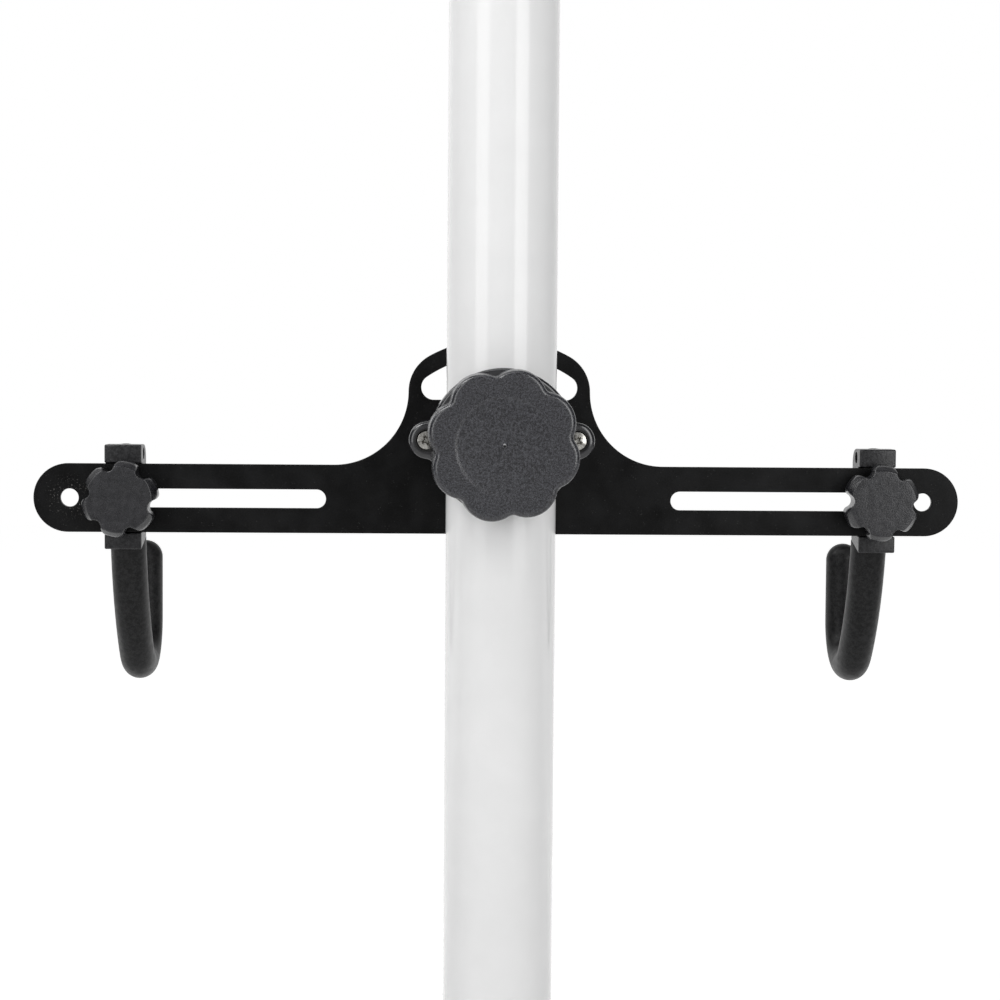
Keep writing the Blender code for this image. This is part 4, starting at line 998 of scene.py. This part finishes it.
# Fasteners
def wedge(name, mouth, floor, front, depth, turn, centre):
    """A tapered block for cutting a recess, and standing out of its mouth.

    Mouth and floor are oblongs of half length and half width, turned round the axis.
    """
    square = np.array([(-1, -1), (1, -1), (1, 1), (-1, 1)], float)
    rings = []
    for size, level in ((0.0, -0.3), (mouth, -0.3), (mouth, 0.0), (floor, 1.0), (0.0, 1.0)):
        across, up = (square * size).T
        x = centre[0] + across * cos(turn) - up * sin(turn)
        z = centre[1] + across * sin(turn) + up * cos(turn)
        rings.append(ordered(x, front + level * depth, z, "XYZ"))
    return closed_mesh(name, [np.stack(rings)])


def dress_screw(side, x):
    """Pan-head screw: domed head with a cross recess, plain shank, and a thread as a helix.

    The head and shank are a profile turned round the axis. The thread's radius is a
    triangle wave of the distance along the screw less the angle's share of the pitch.
    """
    top, end = (corner[1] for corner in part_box(f"clamp_screw_{side}"))
    under = top + SCREW_HEAD_HEIGHT
    flat = SCREW_HEAD_RADIUS - SCREW_HEAD_ROUND
    shoulder = top + SCREW_CROWN
    head = [(r, top + SCREW_CROWN * (r / flat) ** 2) for r in np.linspace(0.0, flat, 7)]
    head += [(flat + SCREW_HEAD_ROUND * sin(a), shoulder + SCREW_HEAD_ROUND * (1 - cos(a)))
             for a in np.linspace(0.3, pi / 2, 8)]
    head += [(SCREW_HEAD_RADIUS, under - 0.0003), (SCREW_HEAD_RADIUS - 0.0003, under),
             (SCREW_RADIUS, under), (SCREW_RADIUS, PLATE_BACK)]
    angle = once_round(96)
    radius, along = np.array(head).T
    rings = facing(x, CLAMP_Z, radius[:, None], angle, along[:, None])
    last = end - THREAD_DEPTH
    reach = np.linspace(PLATE_BACK, last, 110)[:, None]
    wave = np.abs(((reach / SCREW_PITCH - angle / (2 * pi)) % 1.0) * 2 - 1)
    thread = SCREW_RADIUS - THREAD_DEPTH * wave
    thread = np.minimum(thread, SCREW_RADIUS - THREAD_DEPTH + (last - reach))
    shank = facing(x, CLAMP_Z, thread, angle, reach)
    point = facing(x, CLAMP_Z, 0.0, angle, end)[None]
    name = f"screw_{side}"
    data = closed_mesh(name, [np.concatenate([rings, shank, point])])
    cuts = [wedge("wing", WING_MOUTH, WING_FLOOR, top, WING_DEPTH, SCREW_TURNS[side] + turn, (x, CLAMP_Z))
            for turn in (0.0, pi / 2)]
    brim = top - 0.001
    floor = top + WELL_DEPTH
    well = [(0.0, brim), (WELL_MOUTH, brim), (WELL_MOUTH, top), (WELL_FLOOR, floor), (0.0, floor)]
    cuts.append(closed_mesh("well", [turned(well, (x, 0.0, CLAMP_Z), ALONG, 24)]))
    data = carved(name, data, cuts=cuts)
    made(name, data, ZINC, "cradle", [f"clamp_screw_{side}"], sharp=35.0)


def dress_lock_nut(side, x):
    """Lock nut: a hexagon whose corners are cut by a cone, and a round collar over a nylon ring.

    Its radius is the smaller of the hexagon's and a turned profile's.
    """
    front, back = (corner[1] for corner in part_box(f"clamp_nut_{side}"))
    angle = once_round(192)
    flat = NUT_FLATS / np.cos((angle + pi / 6) % (pi / 3) - pi / 6)
    shoulder = front + NUT_SHOULDER
    steps = [(0.0028, front), (0.0038, front), (0.0042, front + 0.00018), (0.0047, front + 0.0006),
             (0.0047, shoulder - 0.0008), (0.0042, shoulder - 0.0003), (0.00385, shoulder - 0.0001),
             (0.0036, shoulder), (0.0036, back - 0.0005), (0.00345, back - 0.00015), (0.0032, back),
             (NYLON_OUTER, back - 0.0002), (NYLON_OUTER, back - 0.0013), (0.0028, back - 0.0015)]
    limit, reach = np.array(steps).T
    radius = np.minimum(limit[:, None], flat)
    rings = looped(facing(x, CLAMP_Z, radius, angle, reach[:, None]))
    name = f"lock_nut_{side}"
    made(name, closed_mesh(name, [rings]), ZINC, "cradle",
         [f"clamp_nut_{side}"], sharp=35.0)
    near = back - 0.0003
    deep = back - 0.0014
    corners = [(NYLON_INNER, deep), (NYLON_OUTER, deep), (NYLON_OUTER, near), (NYLON_INNER, near)]
    profile = looped(followed(rounded(corners, 0.0001)))
    data = closed_mesh("lock_ring", [turned(profile, (x, 0.0, CLAMP_Z), ALONG)])
    made(f"lock_ring_{side}", data, NYLON, "cradle")


def dress_washer(name, node, body, hole):
    """Flat washer with its edges broken, turned in the place of its plain solid."""
    low, high = (np.array(corner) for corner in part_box(node))
    centre = (low + high) / 2
    outer = (high[0] - low[0]) / 2
    edge = 0.2 * (high[1] - low[1])
    corners = [(hole, low[1]), (outer, low[1]), (outer, high[1]), (hole, high[1])]
    profile = looped(followed(rounded(corners, edge), step=radians(22.5)))
    data = closed_mesh(name, [turned(profile, (centre[0], 0.0, centre[2]), ALONG)])
    made(name, data, ZINC, body, [node], sharp=50.0)


def dress_hidden():
    """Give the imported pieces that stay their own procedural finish."""
    kept = {
        "clamp_liner": NYLON, "pressure_pad": SOFT_COAT, "knob_insert": BRASS, "clamp_stud": ZINC,
        "hook_rod_left": BLACK_STEEL, "hook_rod_right": BLACK_STEEL,
        "hook_nut_left": ZINC, "hook_nut_right": ZINC, "hook_stud_left": ZINC, "hook_stud_right": ZINC}
    for node, surface in kept.items():
        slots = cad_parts[node].data.materials
        slots.clear()
        slots.append(surface)


dress_pole()
dress_plate()
dress_collar()
dress_saddle()
dress_big_knob()
for side, sign in (("left", -1), ("right", 1)):
    washer_low, washer_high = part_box(f"hook_washer_{side}")
    hook_x = (washer_low[0] + washer_high[0]) / 2
    dress_small_knob(side)
    dress_washer(f"washer_{side}", f"hook_washer_{side}", f"washer_{side}", WASHER_HOLE)
    dress_carrier(side, hook_x)
    dress_sleeve(side, hook_x)
    dress_pin(side, hook_x)
    dress_screw(side, sign * SCREW_X)
    dress_lock_nut(side, sign * SCREW_X)
    dress_washer(f"nut_washer_{side}", f"clamp_washer_{side}", "cradle", SCREW_HOLE)
dress_hidden()


# Stage, light and camera
def seen(tree):
    """1 for rays from the camera or through a glass, and 0 for the rest."""
    path = linked(tree, "LightPath").outputs
    return combined(tree, path["Is Camera Ray"], path["Is Transmission Ray"], "MAXIMUM")


def stage_floor():
    """Pale floor under the lowest hooks, white to the camera where nothing shades it.

    Its glow is what the lamps' light lacks, and so grows with the distance from the pole,
    as the lower of two lines. Reflections see it glow only behind the object.
    """
    floor = bpy.data.meshes.new("floor")
    near, far = -FLOOR_REACH, FLOOR_REACH
    floor.from_pydata([(near, near, 0.0), (far, near, 0.0), (far, far, 0.0), (near, far, 0.0)],
                      [], [(0, 1, 2, 3)])
    laid = placed("floor", floor)
    laid.location.z = FLOOR_Z
    paint, tree, shader = new_material("pale_floor")
    for socket, value in (("Base Color", (0.80, 0.80, 0.80, 1.0)), ("Roughness", 0.9),
                          ("Specular IOR Level", 0.0), ("Emission Color", (1.0, 1.0, 1.0, 1.0))):
        shader.inputs[socket].default_value = value
    place = linked(tree, "TexCoord").outputs["Object"]
    depth = linked(tree, "SeparateXYZ", {0: place}).outputs["Y"]
    behind = spread(tree, depth, 0.15, 0.65, 0.0, FLOOR_GLOW)
    mirrored = combined(tree, linked(tree, "LightPath").outputs["Is Glossy Ray"], behind)
    away = measured(tree, "LENGTH", place)
    foot = spread(tree, away, 0.0, 1.0, FOOT_GLOW, FOOT_GLOW + FOOT_GAIN)
    field = spread(tree, away, 0.0, FIELD_REACH, FIELD_GLOW, FLOOR_GLOW)
    shown = combined(tree, seen(tree), combined(tree, foot, field, "MINIMUM"))
    tree.links.new(combined(tree, shown, mirrored, "MAXIMUM"), shader.inputs["Emission Strength"])
    floor.materials.append(paint)


def turned_to(shown, place, right, up, back):
    """Put a lamp or the camera at a place, with its own X, Y and Z along three directions."""
    turn = Matrix(np.column_stack([right, up, back]).tolist()).to_4x4()
    shown.matrix_world = Matrix.Translation(place) @ turn


def soft_box(name, place, aim, width, height, power):
    """A flat lamp that faces a point, with its height upright."""
    lamp = bpy.data.lights.new(name, "AREA")
    lamp.shape = "RECTANGLE"
    lamp.size = width
    lamp.size_y = height
    lamp.energy = power
    away = np.asarray(place, float) - aim
    away /= np.linalg.norm(away)
    side = np.cross(UPWARD, away)
    side /= np.linalg.norm(side)
    turned_to(placed(name, lamp), place, side, np.cross(away, side), away)


def stage_world():
    """White to the camera, and a fill that is strongest from ahead on the left for what it lights.

    Reflections show white behind the object, dim sides, and a grey studio behind the camera.
    """
    world = bpy.data.worlds.new("studio")
    bpy.context.scene.world = world
    world.use_nodes = True
    tree = world.node_tree
    background = tree.nodes["Background"]
    background.inputs["Color"].default_value = (1.0, 1.0, 1.0, 1.0)
    way = linked(tree, "TexCoord").outputs["Generated"]
    across = linked(tree, "SeparateXYZ", {0: way}).outputs["Y"]
    ahead = spread(tree, across, *AHEAD_EDGES, STUDIO_AHEAD, STUDIO_BESIDE)
    shine = combined(tree, ahead, spread(tree, across, *BEHIND_EDGES, STUDIO_BESIDE, 1.0), "MAXIMUM")
    fill = spread(tree, measured(tree, "DOT_PRODUCT", way, FILL_FROM), -1.0, 1.0, FILL_LOW, FILL_HIGH)
    path = linked(tree, "LightPath").outputs
    for share, shown in ((path["Is Glossy Ray"], shine), (seen(tree), 1.0)):
        fill = linked(tree, "Mix", {0: share, 2: fill, 3: shown}).outputs[0]
    tree.links.new(fill, background.inputs["Strength"])


def stage_camera():
    """Camera at the solved place, looking along its yaw and pitch with the picture's roll."""
    yaw, pitch, roll = CAMERA_YAW, CAMERA_PITCH, CAMERA_ROLL
    forward = np.array([sin(yaw) * cos(pitch), cos(yaw) * cos(pitch), -sin(pitch)])
    level = np.array([cos(yaw), -sin(yaw), 0.0])
    down = np.cross(forward, level)
    right = level * cos(roll) + down * sin(roll)
    under = down * cos(roll) - level * sin(roll)
    lens = bpy.data.cameras.new("camera")
    lens.sensor_width = SENSOR
    lens.lens = CAMERA_FOCAL_PIXELS * SENSOR / PICTURE_PIXELS
    lens.clip_end = 50.0
    shown = placed("camera", lens)
    place = np.array(CAMERA_PLACE) / 1000.0 + (0.0, 0.0, ARM_Z)
    turned_to(shown, place, right, -under, -forward)
    bpy.context.scene.camera = shown


stage_floor()
stage_world()
target = np.array([0.0, 0.0, ARM_Z])
# Each lamp's name, place, aim, width, height and watts
soft_box("left_box", (-1.16, -1.15, 1.10), (0.0, 0.0, 1.10), 0.78, 1.9, 9.8)
soft_box("right_box", (0.97, -1.28, 1.10), (0.0, 0.0, 1.10), 0.78, 1.9, 14.0)
soft_box("high_left_box", (-0.75, -0.20, 1.55), target, 0.60, 0.45, 5.0)
soft_box("side_box", (-1.0, 0.25, 1.35), target, 0.45, 0.50, 2.4)
soft_box("top_box", (-0.2, -0.4, 2.2), target, 1.3, 0.5, 3.5)
stage_camera()
bpy.context.scene.view_settings.view_transform = "Standard"
